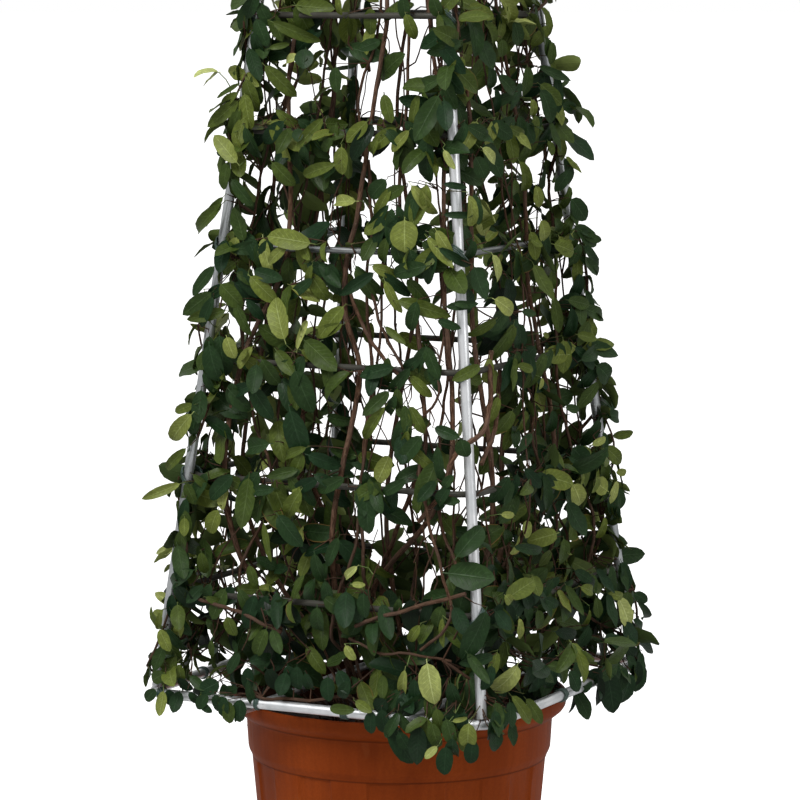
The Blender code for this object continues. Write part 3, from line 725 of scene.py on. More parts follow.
def store(tree, geometry, name, value, domain="POINT", data_type="FLOAT"):
    inputs = {0: geometry, "Name": name, "Value": value}
    return add_node(
        tree, "GeometryNodeStoreNamedAttribute", inputs, domain=domain, data_type=data_type
    )


def named(tree, name, data_type="FLOAT"):
    return add_node(tree, "GeometryNodeInputNamedAttribute", {"Name": name}, data_type=data_type)


def random_value(tree, low, high, seed, kind="FLOAT", ident=None):
    inputs = {"Min": low, "Max": high, "Seed": seed}
    if ident is not None:
        inputs["ID"] = ident
    return add_node(tree, "FunctionNodeRandomValue", inputs, "Value", data_type=kind)


def copy_to_points(tree, points, shelf, which, turned, sized, chosen=True):
    """Puts one of the meshes on a shelf on each chosen point, turned and sized."""
    shelf = add_node(tree, "GeometryNodeCollectionInfo", {0: shelf, 1: True, 2: True})
    inputs = {"Points": points, "Selection": chosen, "Instance": shelf, "Pick Instance": True}
    inputs.update({"Instance Index": which, "Rotation": turned, "Scale": sized})
    return add_node(tree, "GeometryNodeInstanceOnPoints", inputs)


def grow(tree, mesh=None, **sizes):
    """Runs a tree on a mesh with these sizes and returns the result as a plain mesh."""
    holder = add_object("grower", mesh or bpy.data.meshes.new("seed"))
    modifier = holder.modifiers.new("grow", "NODES")
    modifier.node_group = tree
    for item in tree.interface.items_tree:
        label = item.name.replace(" ", "_")
        if item.in_out == "INPUT" and label in sizes:
            modifier[item.identifier] = sizes[label]
    graph = bpy.context.evaluated_depsgraph_get()
    grown = bpy.data.meshes.new_from_object(
        holder.evaluated_get(graph), preserve_all_data_layers=True, depsgraph=graph
    )
    bpy.data.objects.remove(holder)
    return grown


def add_piece(name, mesh, slot, *nodes):
    """A finished piece that rides on the body and stands for CAD nodes, which it hides. The slot is
    not used.
    """
    mesh.name = name
    piece = add_object(name, mesh)
    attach(piece, "root")
    if nodes:
        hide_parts(*nodes)
    print(name, len(mesh.polygons), "faces")
    return piece


def path_mesh(paths):
    """A mesh of edges along each path. A path is a list of points, each a dict that holds its
    place under co and any numbers or vectors to store on the mesh."""
    points = [point for path in paths for point in path]
    edges, start = [], 0
    for path in paths:
        edges += [(i, i + 1) for i in range(start, start + len(path) - 1)]
        start += len(path)
    mesh = bpy.data.meshes.new("paths")
    mesh.from_pydata([point["co"] for point in points], edges, [])
    for label, sample in points[0].items():
        if label == "co":
            continue
        if isinstance(sample, Vector):
            layer = mesh.attributes.new(label, "FLOAT_VECTOR", "POINT")
            layer.data.foreach_set("vector", [value for point in points for value in point[label]])
        else:
            layer = mesh.attributes.new(label, "FLOAT", "POINT")
            layer.data.foreach_set("value", [point[label] for point in points])
    return mesh


def round_place(radius, turn, z):
    """The place at a distance and a turn round the axis, and a height."""
    return (radius * math.cos(turn), radius * math.sin(turn), z)


def finish_mesh(shell, name, material, sharp_angle):
    """Turns a bmesh into a smooth-shaded mesh with one material and faces pointing outwards."""
    bmesh.ops.remove_doubles(shell, verts=shell.verts, dist=0.00001)
    bmesh.ops.recalc_face_normals(shell, faces=shell.faces)
    mesh = bpy.data.meshes.new(name)
    shell.to_mesh(mesh)
    shell.free()
    mesh.materials.append(material)
    mesh.shade_smooth()
    mesh.set_sharp_from_angle(angle=math.radians(sharp_angle))
    return mesh


print("piece helpers ready")

# %% [markdown]
# ## Tube along a path
# Tube is one round profile swept along a line. The tree resamples the line, sweeps a circle
# whose size can vary by a thickness number on the line, closes the ends, and stores how far
# along and how far round each point is, which the metal and bark finishes read. The same tree
# makes the uprights, the bars, the ties and every stem.

# %% Tree: round tube


def sweep(tree, curve, radius, sides, scale, caps=True):
    """A circle swept along a curve, with the along and around numbers stored on the mesh."""
    length = add_node(tree, "GeometryNodeSplineParameter", out="Length")
    share = add_node(tree, "GeometryNodeSplineParameter", out="Factor")
    curve = store(tree, curve, "along", length)
    inputs = {"Resolution": sides, "Radius": radius}
    ring = add_node(tree, "GeometryNodeCurvePrimitiveCircle", inputs)
    ring = store(tree, ring, "around", share)
    inputs = {"Curve": curve, "Profile Curve": ring, "Scale": scale, "Fill Caps": caps}
    return add_node(tree, "GeometryNodeCurveToMesh", inputs)


TUBE_SIZES = {"Radius": "Float", "Sides": "Int", "Spacing": "Float", "Wobble": "Float"}
round_tube, start = new_tree("round_tube", {**TUBE_SIZES, "Material": "Material"})
tree = round_tube
line = add_node(tree, "GeometryNodeMeshToCurve", {0: start["Geometry"]})
inputs = {"Curve": line, "Length": start["Spacing"]}
line = add_node(tree, "GeometryNodeResampleCurve", inputs, mode="LENGTH")
drift = add_node(tree, "ShaderNodeTexNoise", {"Scale": 22.0, "Detail": 2.0}, "Color")
drift = vector_calc(tree, "SUBTRACT", drift, (0.5, 0.5, 0.5))
drift = scaled(tree, drift, start["Wobble"])
line = add_node(tree, "GeometryNodeSetPosition", {0: line, "Offset": drift})
tube = sweep(tree, line, start["Radius"], start["Sides"], named(tree, "thickness"))
end_tree(tree, tube, start["Material"])
print("tree", round_tube.name)

# %% [markdown]
# ## Square loop of tube
# The base ring and the hoops are squares of tube with rounded corners, each smaller than the one
# below. A rectangle curve with filleted corners says that directly: half a side, a bend and a
# height are the only sizes.

# %% Tree: square loop
LOOP_SIZES = ("Half Side", "Bend", "Height", "Turn", "Radius")
square_loop, start = new_tree(
    "square_loop", {**dict.fromkeys(LOOP_SIZES, "Float"), "Material": "Material"}
)
tree = square_loop
side = product(tree, start["Half Side"], 2.0)
loop = add_node(tree, "GeometryNodeCurvePrimitiveQuadrilateral", {"Width": side, "Height": side})
inputs = {"Curve": loop, "Count": 10, "Radius": start["Bend"]}
loop = add_node(tree, "GeometryNodeFilletCurve", inputs, mode="POLY")
lift = add_node(tree, "ShaderNodeCombineXYZ", {2: start["Height"]})
spin = add_node(tree, "ShaderNodeCombineXYZ", {2: start["Turn"]})
loop = add_node(tree, "GeometryNodeTransform", {0: loop, "Translation": lift, "Rotation": spin})
tube = sweep(tree, loop, start["Radius"], 16, 1.0, caps=False)
end_tree(tree, tube, start["Material"])
print("tree", square_loop.name)

# %% [markdown]
# ## The pot
# A pot is a turned shape, so it is a profile carried round an axis. This one isn't quite round:
# below its band, twelve upright panels are pressed in a little, with twelve raised ones between
# them, so each ring of points is pulled in where a panel is sunk. Lathing by hand in bmesh makes
# that easy, and keeps the wall, the lip and the foot in one closed shell.

# %% Build the pot
POT_WALL = 0.003
FOOT_HEIGHT = 0.018
BAND_BOTTOM, BAND_TOP = 0.291, 0.338
BODY_TOP, BODY_TAPER = 0.1762, 0.093
RIM_RADIUS = (box_of("pot")[1].x - box_of("pot")[0].x) / 2
PANEL_PAIRS = 12
PANEL_PITCH = 360.0 / PANEL_PAIRS
PANEL_EDGE = 1.1
PANEL_DEPTH = 0.0025
PANEL_TURN = 2.9
PANEL_STEPS = (0.25, 0.6, 4.0, 7.5, 11.0, 14.4, 14.75, 15.25, 15.6, 19.0, 22.5, 26.0, 29.4, 29.75)


def body_radius(z):
    """The tapered body's outside, between its sunk panels."""
    return BODY_TOP - BODY_TAPER * (BAND_BOTTOM - z)


BODY_HEIGHTS = (FOOT_HEIGHT + 0.0045, 0.080, 0.150, 0.220, 0.270, BAND_BOTTOM - 0.0038)
POT_OUTSIDE = (
    # height, radius, how far in a panel is sunk here
    (0.0000, 0.1450, 0), (0.0008, 0.1472, 0), (0.0030, 0.1489, 0), (0.0100, 0.1497, 0),
    (FOOT_HEIGHT - 0.001, 0.1506, 0), (FOOT_HEIGHT + 0.002, 0.1510, 0.5),
    *((z, body_radius(z), 1) for z in BODY_HEIGHTS),
    (BAND_BOTTOM - 0.0026, body_radius(0.2884), 0.8),
    (BAND_BOTTOM - 0.0016, body_radius(0.2894), 0.2),
    (BAND_BOTTOM - 0.0012, body_radius(0.2898), 0), (BAND_BOTTOM, BODY_TOP + 0.0001, 0),
    (BAND_BOTTOM + 0.0020, 0.1771, 0), (BAND_BOTTOM + 0.0050, 0.1787, 0),
    (BAND_BOTTOM + 0.0080, 0.1799, 0), (BAND_BOTTOM + 0.0105, 0.1805, 0), (0.3200, 0.1817, 0),
    (BAND_TOP - 0.0020, 0.1826, 0),
    (BAND_TOP - 0.0002, 0.1830, 0), (BAND_TOP + 0.0012, 0.1841, 0), (BAND_TOP + 0.0022, 0.1856, 0),
    (BAND_TOP + 0.0060, 0.1913, 0), (BAND_TOP + 0.0100, 0.1962, 0), (BAND_TOP + 0.0135, 0.1985, 0),
    (POT_HEIGHT - 0.0090, 0.1994, 0), (POT_HEIGHT - 0.0032, RIM_RADIUS - 0.0001, 0),
    (POT_HEIGHT - 0.0012, RIM_RADIUS - 0.0001, 0), (POT_HEIGHT, RIM_RADIUS - 0.0010, 0),
)
POT_INSIDE = (
    (POT_HEIGHT, RIM_RADIUS - 0.0034, 0), (POT_HEIGHT - 0.001, RIM_RADIUS - 0.0042, 0),
    (BAND_TOP + 0.0160, 0.1957, 0), (BAND_TOP + 0.0125, 0.1940, 0), (BAND_TOP + 0.0083, 0.1893, 0),
    (BAND_TOP + 0.0045, 0.1830, 0), (BAND_TOP, 0.1798, 0), (BAND_BOTTOM + 0.0103, 0.1775, 0),
    (BAND_BOTTOM + 0.0025, 0.1740, 0), (BAND_BOTTOM + 0.0002, 0.1732, 1), (0.150, 0.1601, 1),
    (FOOT_HEIGHT + 0.004, 0.1482, 1), (FOOT_HEIGHT - 0.003, 0.1474, 0),
    (POT_WALL + 0.003, 0.1462, 0), (POT_WALL, 0.1432, 0),
)
DRAINS = 6
DRAIN_CIRCLE, DRAIN_RADIUS, DRAIN_CUT = 0.095, 0.009, 0.012


def sunk_share(degrees):
    """How far into a sunk panel an angle is: 0 on a raised one, 1 on a sunk one, soft between."""
    within, half = degrees % PANEL_PITCH, PANEL_PITCH / 2
    edge = min(within - half, PANEL_PITCH - within) if within > half / 2 else -within
    return min(1.0, max(0.0, 0.5 + edge / PANEL_EDGE))


def lathe_pot():
    shell = bmesh.new()
    angles = [pair * PANEL_PITCH + step for pair in range(PANEL_PAIRS) for step in PANEL_STEPS]
    rings = []
    for z, radius, sunk_here in POT_OUTSIDE + POT_INSIDE:
        ring = []
        for degrees in angles:
            turn = math.radians(PANEL_TURN + degrees)
            r = radius - PANEL_DEPTH * sunk_here * sunk_share(degrees)
            ring.append(shell.verts.new(round_place(r, turn, z)))
        rings.append(ring)
    for lower, upper in zip(rings, rings[1:]):
        for k in range(len(angles)):
            n = (k + 1) % len(angles)
            shell.faces.new((lower[k], lower[n], upper[n], upper[k]))
    shell.faces.new(rings[0][::-1])
    shell.faces.new(rings[-1])
    return finish_mesh(shell, "pot_shell", terracotta_plastic, 32.0)


def cut_drains(mesh):
    """Cuts the six drain holes through the base."""
    holder = add_object("uncut", mesh)
    shell = bmesh.new()
    drill = {"radius1": DRAIN_RADIUS, "radius2": DRAIN_RADIUS, "depth": DRAIN_CUT}
    for k in range(DRAINS):
        turn = math.radians(360.0 / DRAINS * k)
        place = Matrix.Translation(round_place(DRAIN_CIRCLE, turn, POT_WALL / 2))
        bmesh.ops.create_cone(shell, cap_ends=True, segments=28, matrix=place, **drill)
    cutter_mesh = bpy.data.meshes.new("drains")
    shell.to_mesh(cutter_mesh)
    shell.free()
    cutter = add_object("drains", cutter_mesh)
    cut = holder.modifiers.new("cut", "BOOLEAN")
    cut.object = cutter
    cut.solver = "EXACT"
    graph = bpy.context.evaluated_depsgraph_get()
    drained = bpy.data.meshes.new_from_object(holder.evaluated_get(graph))
    bpy.data.objects.remove(holder)
    bpy.data.objects.remove(cutter)
    return drained


add_piece("terracotta_pot", cut_drains(lathe_pot()), "terracotta_plastic", "pot")

# %% [markdown]
# ## Soil and bark chips
# Soil is never level. The fill is a lathed plug that follows the pot's inside, with its top moved
# up and down by noise. The loose chips on top repeat, so a tree scatters them: it spreads points
# over the top, and puts one of three chips on each, turned and scaled at random from a fixed seed.

# %% Build the soil
SOIL_RIM, SOIL_GAP = 0.1770, 0.0004
SOIL_RINGS, SOIL_STEPS = 22, 72
SOIL_SINK, SOIL_HEAVE, SOIL_CRUMBS = 0.0022, 0.0012, 0.0010
SOIL_PLUG = (
    # height, radius
    (SOIL_TOP - 0.003, SOIL_RIM), (0.301, 0.1755), (0.2935, 0.1719), (0.291, 0.1688),
    (0.022, 0.1434), (0.0033, 0.1416),
)


def soil_height(x, y):
    """Height of the crumbly soil surface, always at or under the level fill."""
    broad = noise.noise(Vector((x, y, 0.3)) * 16.0)
    crumbs = noise.noise(Vector((x, y, 1.7)) * 95.0)
    return SOIL_TOP - SOIL_SINK + SOIL_HEAVE * broad + SOIL_CRUMBS * crumbs


def build_soil():
    shell = bmesh.new()
    rings = []
    for k in range(1, SOIL_RINGS + 1):
        rings.append((None, SOIL_RIM * k / SOIL_RINGS - SOIL_GAP * (k == SOIL_RINGS)))
    middle = shell.verts.new((0.0, 0.0, soil_height(0.0, 0.0)))
    made = []
    for z, radius in (*rings, *SOIL_PLUG):
        row = []
        for k in range(SOIL_STEPS):
            x, y, _ = round_place(radius, 2 * math.pi * k / SOIL_STEPS, z)
            row.append(shell.verts.new((x, y, soil_height(x, y) if z is None else z)))
        made.append(row)
    for k in range(SOIL_STEPS):
        n = (k + 1) % SOIL_STEPS
        shell.faces.new((middle, made[0][k], made[0][n]))
        for inner, outer in zip(made, made[1:]):
            shell.faces.new((inner[k], outer[k], outer[n], inner[n]))
    shell.faces.new(made[-1][::-1])
    return finish_mesh(shell, "soil_fill", potting_soil, 50.0)


soil_fill = add_piece("soil_fill", build_soil(), "soil", "soil")

# %% Scatter the chips


CHIP_SIZES = ((0.013, 0.007, 0.004), (0.009, 0.006, 0.005), (0.018, 0.006, 0.003))
CHIP_CHAMFER, CHIP_ROUGHNESS = 0.22, 0.16


def chip_mesh(name, seed, length, width, height):
    """A split crumb of bark: a box with chipped, uneven corners."""
    rng = random.Random(seed)
    shell = bmesh.new()
    bmesh.ops.create_cube(shell, size=1.0)
    bmesh.ops.subdivide_edges(shell, edges=shell.edges[:], cuts=1, use_grid_fill=True)
    for vert in shell.verts:
        pull = 1.0 - CHIP_CHAMFER * (sum(abs(v) > 0.4 for v in vert.co) - 1)
        vert.co = Vector((vert.co.x * length, vert.co.y * width, vert.co.z * height)) * pull
        vert.co += Vector([rng.uniform(-1, 1) for _ in range(3)]) * height * CHIP_ROUGHNESS
    return finish_mesh(shell, name, bark_chips, 40.0)


chip_shelf = bpy.data.collections.new("chip_shelf")
scene.collection.children.link(chip_shelf)
for number, sizes in enumerate(CHIP_SIZES):
    mesh = chip_mesh(f"chip_{number + 1}", 40 + number, *sizes)
    chip_shelf.objects.link(bpy.data.objects.new(mesh.name, mesh))

scatter_chips, start = new_tree(
    "scatter_chips",
    {"Chips": "Collection", "Density": "Float", "Smallest": "Float", "Material": "Material"},
)
tree = scatter_chips
faces_up = add_node(tree, "GeometryNodeInputNormal")
faces_up = calc(tree, "GREATER_THAN", height_of(tree, faces_up), 0.7)
inputs = {"Mesh": start["Geometry"], "Selection": faces_up, "Density": start["Density"], "Seed": 7}
points = add_node(tree, "GeometryNodeDistributePointsOnFaces", inputs)
turned = random_value(tree, (-0.35, -0.35, 0.0), (0.35, 0.35, 6.283), 3, "FLOAT_VECTOR")
sized = random_value(tree, start["Smallest"], 1.1, 5)
kinds = random_value(tree, 0, len(CHIP_SIZES) - 1, 9, "INT")
chips = copy_to_points(tree, points, start["Chips"], kinds, turned, sized)
end_tree(tree, chips, start["Material"])
chips = grow(
    scatter_chips,
    soil_fill.data,
    Chips=chip_shelf,
    Density=3800.0,
    Smallest=0.4,
    Material=bark_chips,
)
add_piece("soil_chips", chips, "soil")
bpy.data.collections.remove(chip_shelf)

# %% [markdown]
# ## The frame of tube
# Two cross bars lie on the pot's rim, a square ring lies on them, four uprights lean in from the
# ring's corners to a knob at the top, and eleven hoops sit inside the uprights. Each is its own
# piece, as on the real frame, so that one can be swapped or recoloured.

# %% Build the ring and the hoops


def loop_mesh(corner, bend, z, radius, finish=bright_tube):
    """A square loop whose corners reach corner metres from the axis."""
    half_side = (corner - bend) / math.sqrt(2) + bend
    return grow(
        square_loop,
        Half_Side=half_side,
        Bend=bend,
        Height=z,
        Turn=FRAME_TURN + math.pi / 4,
        Radius=radius,
        Material=finish,
    )


BARE_HOOP = 4
mesh = loop_mesh(RING_CORNER, CORNER_BEND, RING_Z, TUBE_RADIUS)
add_piece("ring_tube", mesh, "bright_tube", "base_ring")
for number, z in enumerate(HOOP_HEIGHTS, start=1):
    corner = corner_radius(z) - HOOP_INSET
    # Painted shade: the hoop that shows is dark grey, the others nearly black.
    finish = dull_wire if number == BARE_HOOP else dark_wire
    mesh = loop_mesh(corner, min(CORNER_BEND, corner * 0.4), z, HOOP_RADIUS, finish)
    add_piece(f"hoop_tube_{number:02d}", mesh, "bright_tube", f"hoop_{number:02d}")

# %% Build the uprights and the bars


def tube_mesh(paths, finish, radius, sides, spacing, wobble):
    """Tubes along paths, with a point each spacing metres that strays by up to wobble metres."""
    return grow(
        round_tube,
        path_mesh(paths),
        Radius=radius,
        Sides=sides,
        Spacing=spacing,
        Wobble=wobble,
        Material=finish,
    )


def straight_tube(name, ends, radius, node, finish=bright_tube):
    path = [{"co": Vector(end), "thickness": 1.0} for end in ends]
    mesh = tube_mesh([path], finish, radius, sides=20, spacing=0.05, wobble=0.0006)
    mesh.set_sharp_from_angle(angle=math.radians(40))
    return add_piece(name, mesh, "bright_tube", node)


for corner, name in enumerate(CORNERS):
    ends = [upright_point(corner, z) for z in (UPRIGHT_FOOT_Z, FINIAL_Z)]
    # Painted shade: every upright but the front one takes the darker copy of the zinc.
    finish = bright_tube if name == "front" else worn_tube
    straight_tube(f"upright_tube_{name}", ends, TUBE_RADIUS, f"upright_{name}", finish)

BAR_RADIUS = 0.0050
BAR_OFFSET, BAR_HALF_LENGTH = 0.094, 0.222
bar_along = side_normal(0.5)
bar_across = Vector((-bar_along.y, bar_along.x, 0.0))
for name, way in (("left", -1), ("right", 1)):
    middle = bar_across * (way * BAR_OFFSET) + Vector((0, 0, middle_height(f"cross_bar_{name}")))
    ends = (middle + bar_along * BAR_HALF_LENGTH, middle - bar_along * BAR_HALF_LENGTH)
    straight_tube(f"bar_tube_{name}", ends, BAR_RADIUS, f"cross_bar_{name}")

# %% Turn the finial
FINIAL_STEPS = 32
FINIAL_PROFILE = (
    # radius, height
    (0.0, 0.0), (0.0300, 0.0), (0.0305, 0.0006), (0.0305, 0.0050), (0.0295, 0.0062),
    (0.0175, 0.0068), (0.0158, 0.0085), (0.0128, 0.0125), (0.0117, 0.0160), (0.0122, 0.0195),
    (0.0145, 0.0232), (0.0155, 0.0262), (0.0150, 0.0295), (0.0130, 0.0330), (0.0098, 0.0362),
    (0.0055, 0.0388), (0.0, 0.0398),
)


def turn_finial():
    base = box_of("finial")[0].z
    shell = bmesh.new()
    for k in range(FINIAL_STEPS):
        first, second = (2 * math.pi * (k + n) / FINIAL_STEPS for n in (0, 1))
        for (r0, z0), (r1, z1) in zip(FINIAL_PROFILE, FINIAL_PROFILE[1:]):
            corners = [(r0, z0, first), (r0, z0, second), (r1, z1, second), (r1, z1, first)]
            places = []
            for r, z, turn in corners:
                place = round_place(r, turn, base + z)
                if place not in places:
                    places.append(place)
            if r0 == 0.0:
                places = [places[0], places[-2], places[-1]] if len(places) > 3 else places
            shell.faces.new([shell.verts.new(place) for place in places])
    return finish_mesh(shell, "finial_knob", bright_tube, 45.0)


add_piece("finial_knob", turn_finial(), "bright_tube", "finial")

# %% [markdown]
# ## Ties
# Each tie is soft tape wound a few times round an upright and the hoop inside it, on a slant. A
# few more go round the base ring to hold shoots. A wound tape is a coil on a rounded-square path,
# so its points come from a formula, and the tube tree sweeps it.

# %% Wind the ties
TIES = (("front", (1, 3, 4, 6, 8)), ("left", (2, 4, 6)), ("right", (2, 3, 5)), ("back", (1, 4, 7)))
TAPE_RADIUS, TAPE_PITCH, TAPE_SLACK = 0.0010, 0.0021, 0.0004
TIE_TURNS, COIL_STEPS = 3.6, 26
TIE_SQUARENESS = 3.0


def coil(centre, out, up, half_out, half_up, turns):
    """Points of a coil of tape: out and up span its loops, which step sideways by its pitch."""
    sideways = out.cross(up).normalized()
    path = []
    for k in range(int(turns * COIL_STEPS) + 1):
        angle = 2 * math.pi * k / COIL_STEPS
        c, s = math.cos(angle), math.sin(angle)
        far = math.copysign(abs(c) ** (2 / TIE_SQUARENESS), c) * half_out
        high = math.copysign(abs(s) ** (2 / TIE_SQUARENESS), s) * half_up
        step = sideways * ((k / COIL_STEPS - turns / 2) * TAPE_PITCH)
        path.append({"co": centre + out * far + up * high + step, "thickness": 1.0})
    return path


def tie_mesh(paths):
    return tube_mesh(paths, tie_tape, TAPE_RADIUS, sides=8, spacing=0.0016, wobble=0.0006)


for corner_name, hoops in TIES:
    corner = CORNERS.index(corner_name)
    out = corner_direction(corner)
    level = Vector((-out.y, out.x, 0.0))
    for number in hoops:
        z = HOOP_HEIGHTS[number - 1]
        up = (Vector((0, 0, 1)) + level * (1 if number % 2 else -1)).normalized()
        half_out = (TUBE_RADIUS + HOOP_INSET + HOOP_RADIUS) / 2 + GAP + TAPE_RADIUS + TAPE_SLACK
        reach = corner_radius(z) - (HOOP_INSET + HOOP_RADIUS - TUBE_RADIUS) / 2
        centre = out * reach + Vector((0, 0, z))
        path = coil(centre, out, up, half_out, 2 * TUBE_RADIUS, TIE_TURNS)
        place = f"{corner_name}_{number:02d}"
        add_piece(f"tie_tape_{place}", tie_mesh([path]), "tie_plastic", f"tie_{place}")

# %% Wind the tapes on the ring
RING_TIES = (
    # side, turns
    (0.05, 3.2), (0.34, 2.4), (0.60, 4.2), (0.93, 3.0), (1.10, 3.0), (1.46, 5.0),
    (1.80, 3.0), (2.4, 3.0), (2.8, 2.5), (3.3, 3.0), (3.7, 2.5),
)
paths = []
for side, turns in RING_TIES:
    out = side_normal(side)
    first = math.floor(side)
    flat = corner_direction(first).lerp(corner_direction(first + 1), side % 1.0)
    reach = ((RING_CORNER - CORNER_BEND) / math.sqrt(2) + CORNER_BEND) / out.dot(flat)
    centre = flat * reach + Vector((0, 0, RING_Z))
    wrap = TUBE_RADIUS + TAPE_RADIUS
    path = coil(centre, out, Vector((0, 0, 1)), wrap, wrap, turns)
    level = out.cross(Vector((0, 0, 1)))
    for point in path:
        spoke = point["co"] - centre
        shift = level * spoke.dot(level)
        point["co"] = centre + shift + (spoke - shift).normalized() * wrap
    paths.append(path)
add_piece("ring_tapes", tie_mesh(paths), "tie_plastic")

# %% [markdown]
# ## Woody stems
# Ten main stems rise from the soil and weave up just inside the frame. They twist a little,
# swell where old shoots left them, and thin towards the tip. Each follows a given route of
# side, height and distance inside the wall, smoothed by a Catmull-Rom curve, and the tube tree
# gives it its round section. The routes are the model's own, so the stems stand in its place.

# %% Lay out the stems
STEMS = (
    # node, foot on the soil, radius, then side, height and distance inside the wall
    ("stem_front_left", (-0.050, -0.010), 0.0042,
     [(0.47, 0.470, 0.070), (0.50, 0.571, 0.020), (0.53, 0.651), (0.57, 0.720), (0.58, 0.772),
      (0.515, 0.830), (0.51, 0.884), (0.55, 0.947), (0.59, 1.038), (0.63, 1.106), (0.66, 1.186),
      (0.58, 1.34), (0.48, 1.54), (0.55, 1.74), (0.50, 1.93)]),
    ("stem_front", (-0.030, -0.055), 0.0040,
     [(0.51, 0.480, 0.120), (0.59, 0.528, 0.090), (0.76, 0.584, 0.050), (0.84, 0.617, 0.030),
      (0.91, 0.655, 0.016), (0.93, 0.738), (0.91, 0.88), (0.93, 1.02), (0.88, 1.18), (0.90, 1.36),
      (0.84, 1.56), (0.80, 1.72)]),
    ("stem_front_middle", (-0.012, -0.010), 0.0036,
     [(0.51, 0.500, 0.145), (0.61, 0.562, 0.092), (0.73, 0.627, 0.047), (0.80, 0.666, 0.025),
      (0.83, 0.710), (0.80, 0.83), (0.73, 0.96), (0.77, 1.10), (0.76, 1.26), (0.70, 1.40)]),
    ("stem_right_front", (0.045, -0.020), 0.0040,
     [(1.30, 0.520, 0.050), (1.24, 0.640), (1.17, 0.80), (1.21, 0.92), (1.27, 1.05), (1.20, 1.22),
      (1.30, 1.42), (1.24, 1.62), (1.40, 1.80)]),
    ("stem_right", (0.070, 0.020), 0.0038,
     [(1.62, 0.520, 0.060), (1.70, 0.640), (1.68, 0.79), (1.66, 0.86), (1.74, 1.00), (1.66, 1.18),
      (1.72, 1.38), (1.60, 1.56)]),
    ("stem_back_right", (0.055, 0.055), 0.0038,
     [(2.32, 0.520, 0.060), (2.35, 0.640), (2.26, 0.82), (2.36, 1.00), (2.28, 1.22), (2.40, 1.44),
      (2.30, 1.66), (2.45, 1.86)]),
    ("stem_back", (0.012, 0.145), 0.0036,
     [(2.72, 0.520, 0.060), (2.76, 0.640), (2.66, 0.84), (2.74, 1.04), (2.64, 1.26), (2.76, 1.48),
      (2.68, 1.64)]),
    ("stem_back_left", (-0.045, 0.135), 0.0038,
     [(3.28, 0.520, 0.060), (3.30, 0.640), (3.38, 0.84), (3.28, 1.04), (3.36, 1.28), (3.26, 1.52),
      (3.40, 1.74), (3.46, 1.88)]),
    ("stem_left_back", (-0.045, 0.045), 0.0036,
     [(3.70, 0.520, 0.060), (3.72, 0.640), (3.66, 0.82), (3.74, 1.00), (3.64, 1.22), (3.72, 1.42)]),
    ("stem_left", (-0.075, 0.000), 0.0040,
     [(0.20, 0.500, 0.060), (0.14, 0.590, 0.016), (0.10, 0.670), (0.13, 0.78), (0.24, 0.87),
      (0.25, 0.956), (0.18, 1.10), (0.24, 1.28), (0.16, 1.46), (0.28, 1.66), (0.22, 1.80)]),
)
STEM_TIP = 0.45
STEM_DEPTH, STEM_NECK = 0.029, 0.012
KNOT_PITCH, KNOT_SWELL = 0.55, 0.22


def smooth_route(route, spacing):
    """Points about one spacing apart on a smooth curve through the route's own points."""
    points = [Vector(point) for point in route]
    ends = [2 * points[0] - points[1], *points, 2 * points[-1] - points[-2]]
    line = []
    for i in range(1, len(ends) - 2):
        before, start, end, after = ends[i - 1 : i + 3]
        steps = max(1, round((end - start).length / spacing))
        for k in range(steps):
            t = k / steps
            bend = 2 * start + (end - before) * t
            bend += (2 * before - 5 * start + 4 * end - after) * t**2
            bend += (3 * start - before - 3 * end + after) * t**3
            line.append(0.5 * bend)
    line.append(points[-1])
    return line


def stem_path(foot, climb, radius, tip, seed, young=0.0):
    """A stem's points from under the soil to its tip, with thickness, swellings and age."""
    x, y = foot
    above = Vector((x, y, SOIL_TOP + STEM_NECK))
    line = [Vector((x, y, SOIL_TOP - STEM_DEPTH)), *smooth_route([above, *climb], STEM_NECK)]
    path = []
    for k, place in enumerate(line):
        share = k / (len(line) - 1)
        knots = noise.noise(Vector((k * KNOT_PITCH, seed * 3.1, 0.0)))
        swell = 1.0 + KNOT_SWELL * max(0.0, knots) - 0.05
        thick = radius * (1.0 + (tip - 1.0) * share) * swell
        path.append({"co": place, "thickness": thick, "young": young * share**2})
    return path


def climb_of(route):
    return [side_point(*spot) for spot in route]


stem_paths = []
for number, (name, foot, radius, route) in enumerate(STEMS):
    path = stem_path(foot, climb_of(route), radius, STEM_TIP, number)
    stem_paths.append(path)
    mesh = tube_mesh([path], bark, 0.92, sides=12, spacing=0.007, wobble=0.0040)
    add_piece(f"woody_{name}", mesh, "bark", name)

# %% [markdown]
# ## Thin vines
# Between the main stems, many thinner vines climb and cross. They are drawn by a seeded walk:
# each starts in the soil, leans out to its wall, and then wanders sideways a little at every
# step, either inside or outside the hoops. A fixed seed gives the same plant each time. A few
# twigs that loop in front of the two near walls are listed one by one.

# %% Let the vines climb
rng = random.Random(20)
VINES_PER_WALL = 7
VINE_TIP = 0.55
vine_paths = []


def climb_wall(wall, start_share, z, top, hold, wander):
    """A seeded walk up one wall: its sides, heights and distances inside."""
    route, share = [], start_share
    while z < top:
        route.append((wall + share, z, hold + rng.uniform(-0.003, 0.003)))
        z += rng.uniform(0.07, 0.13)
        share = min(0.95, max(0.05, share + rng.uniform(-wander, wander)))
    return route


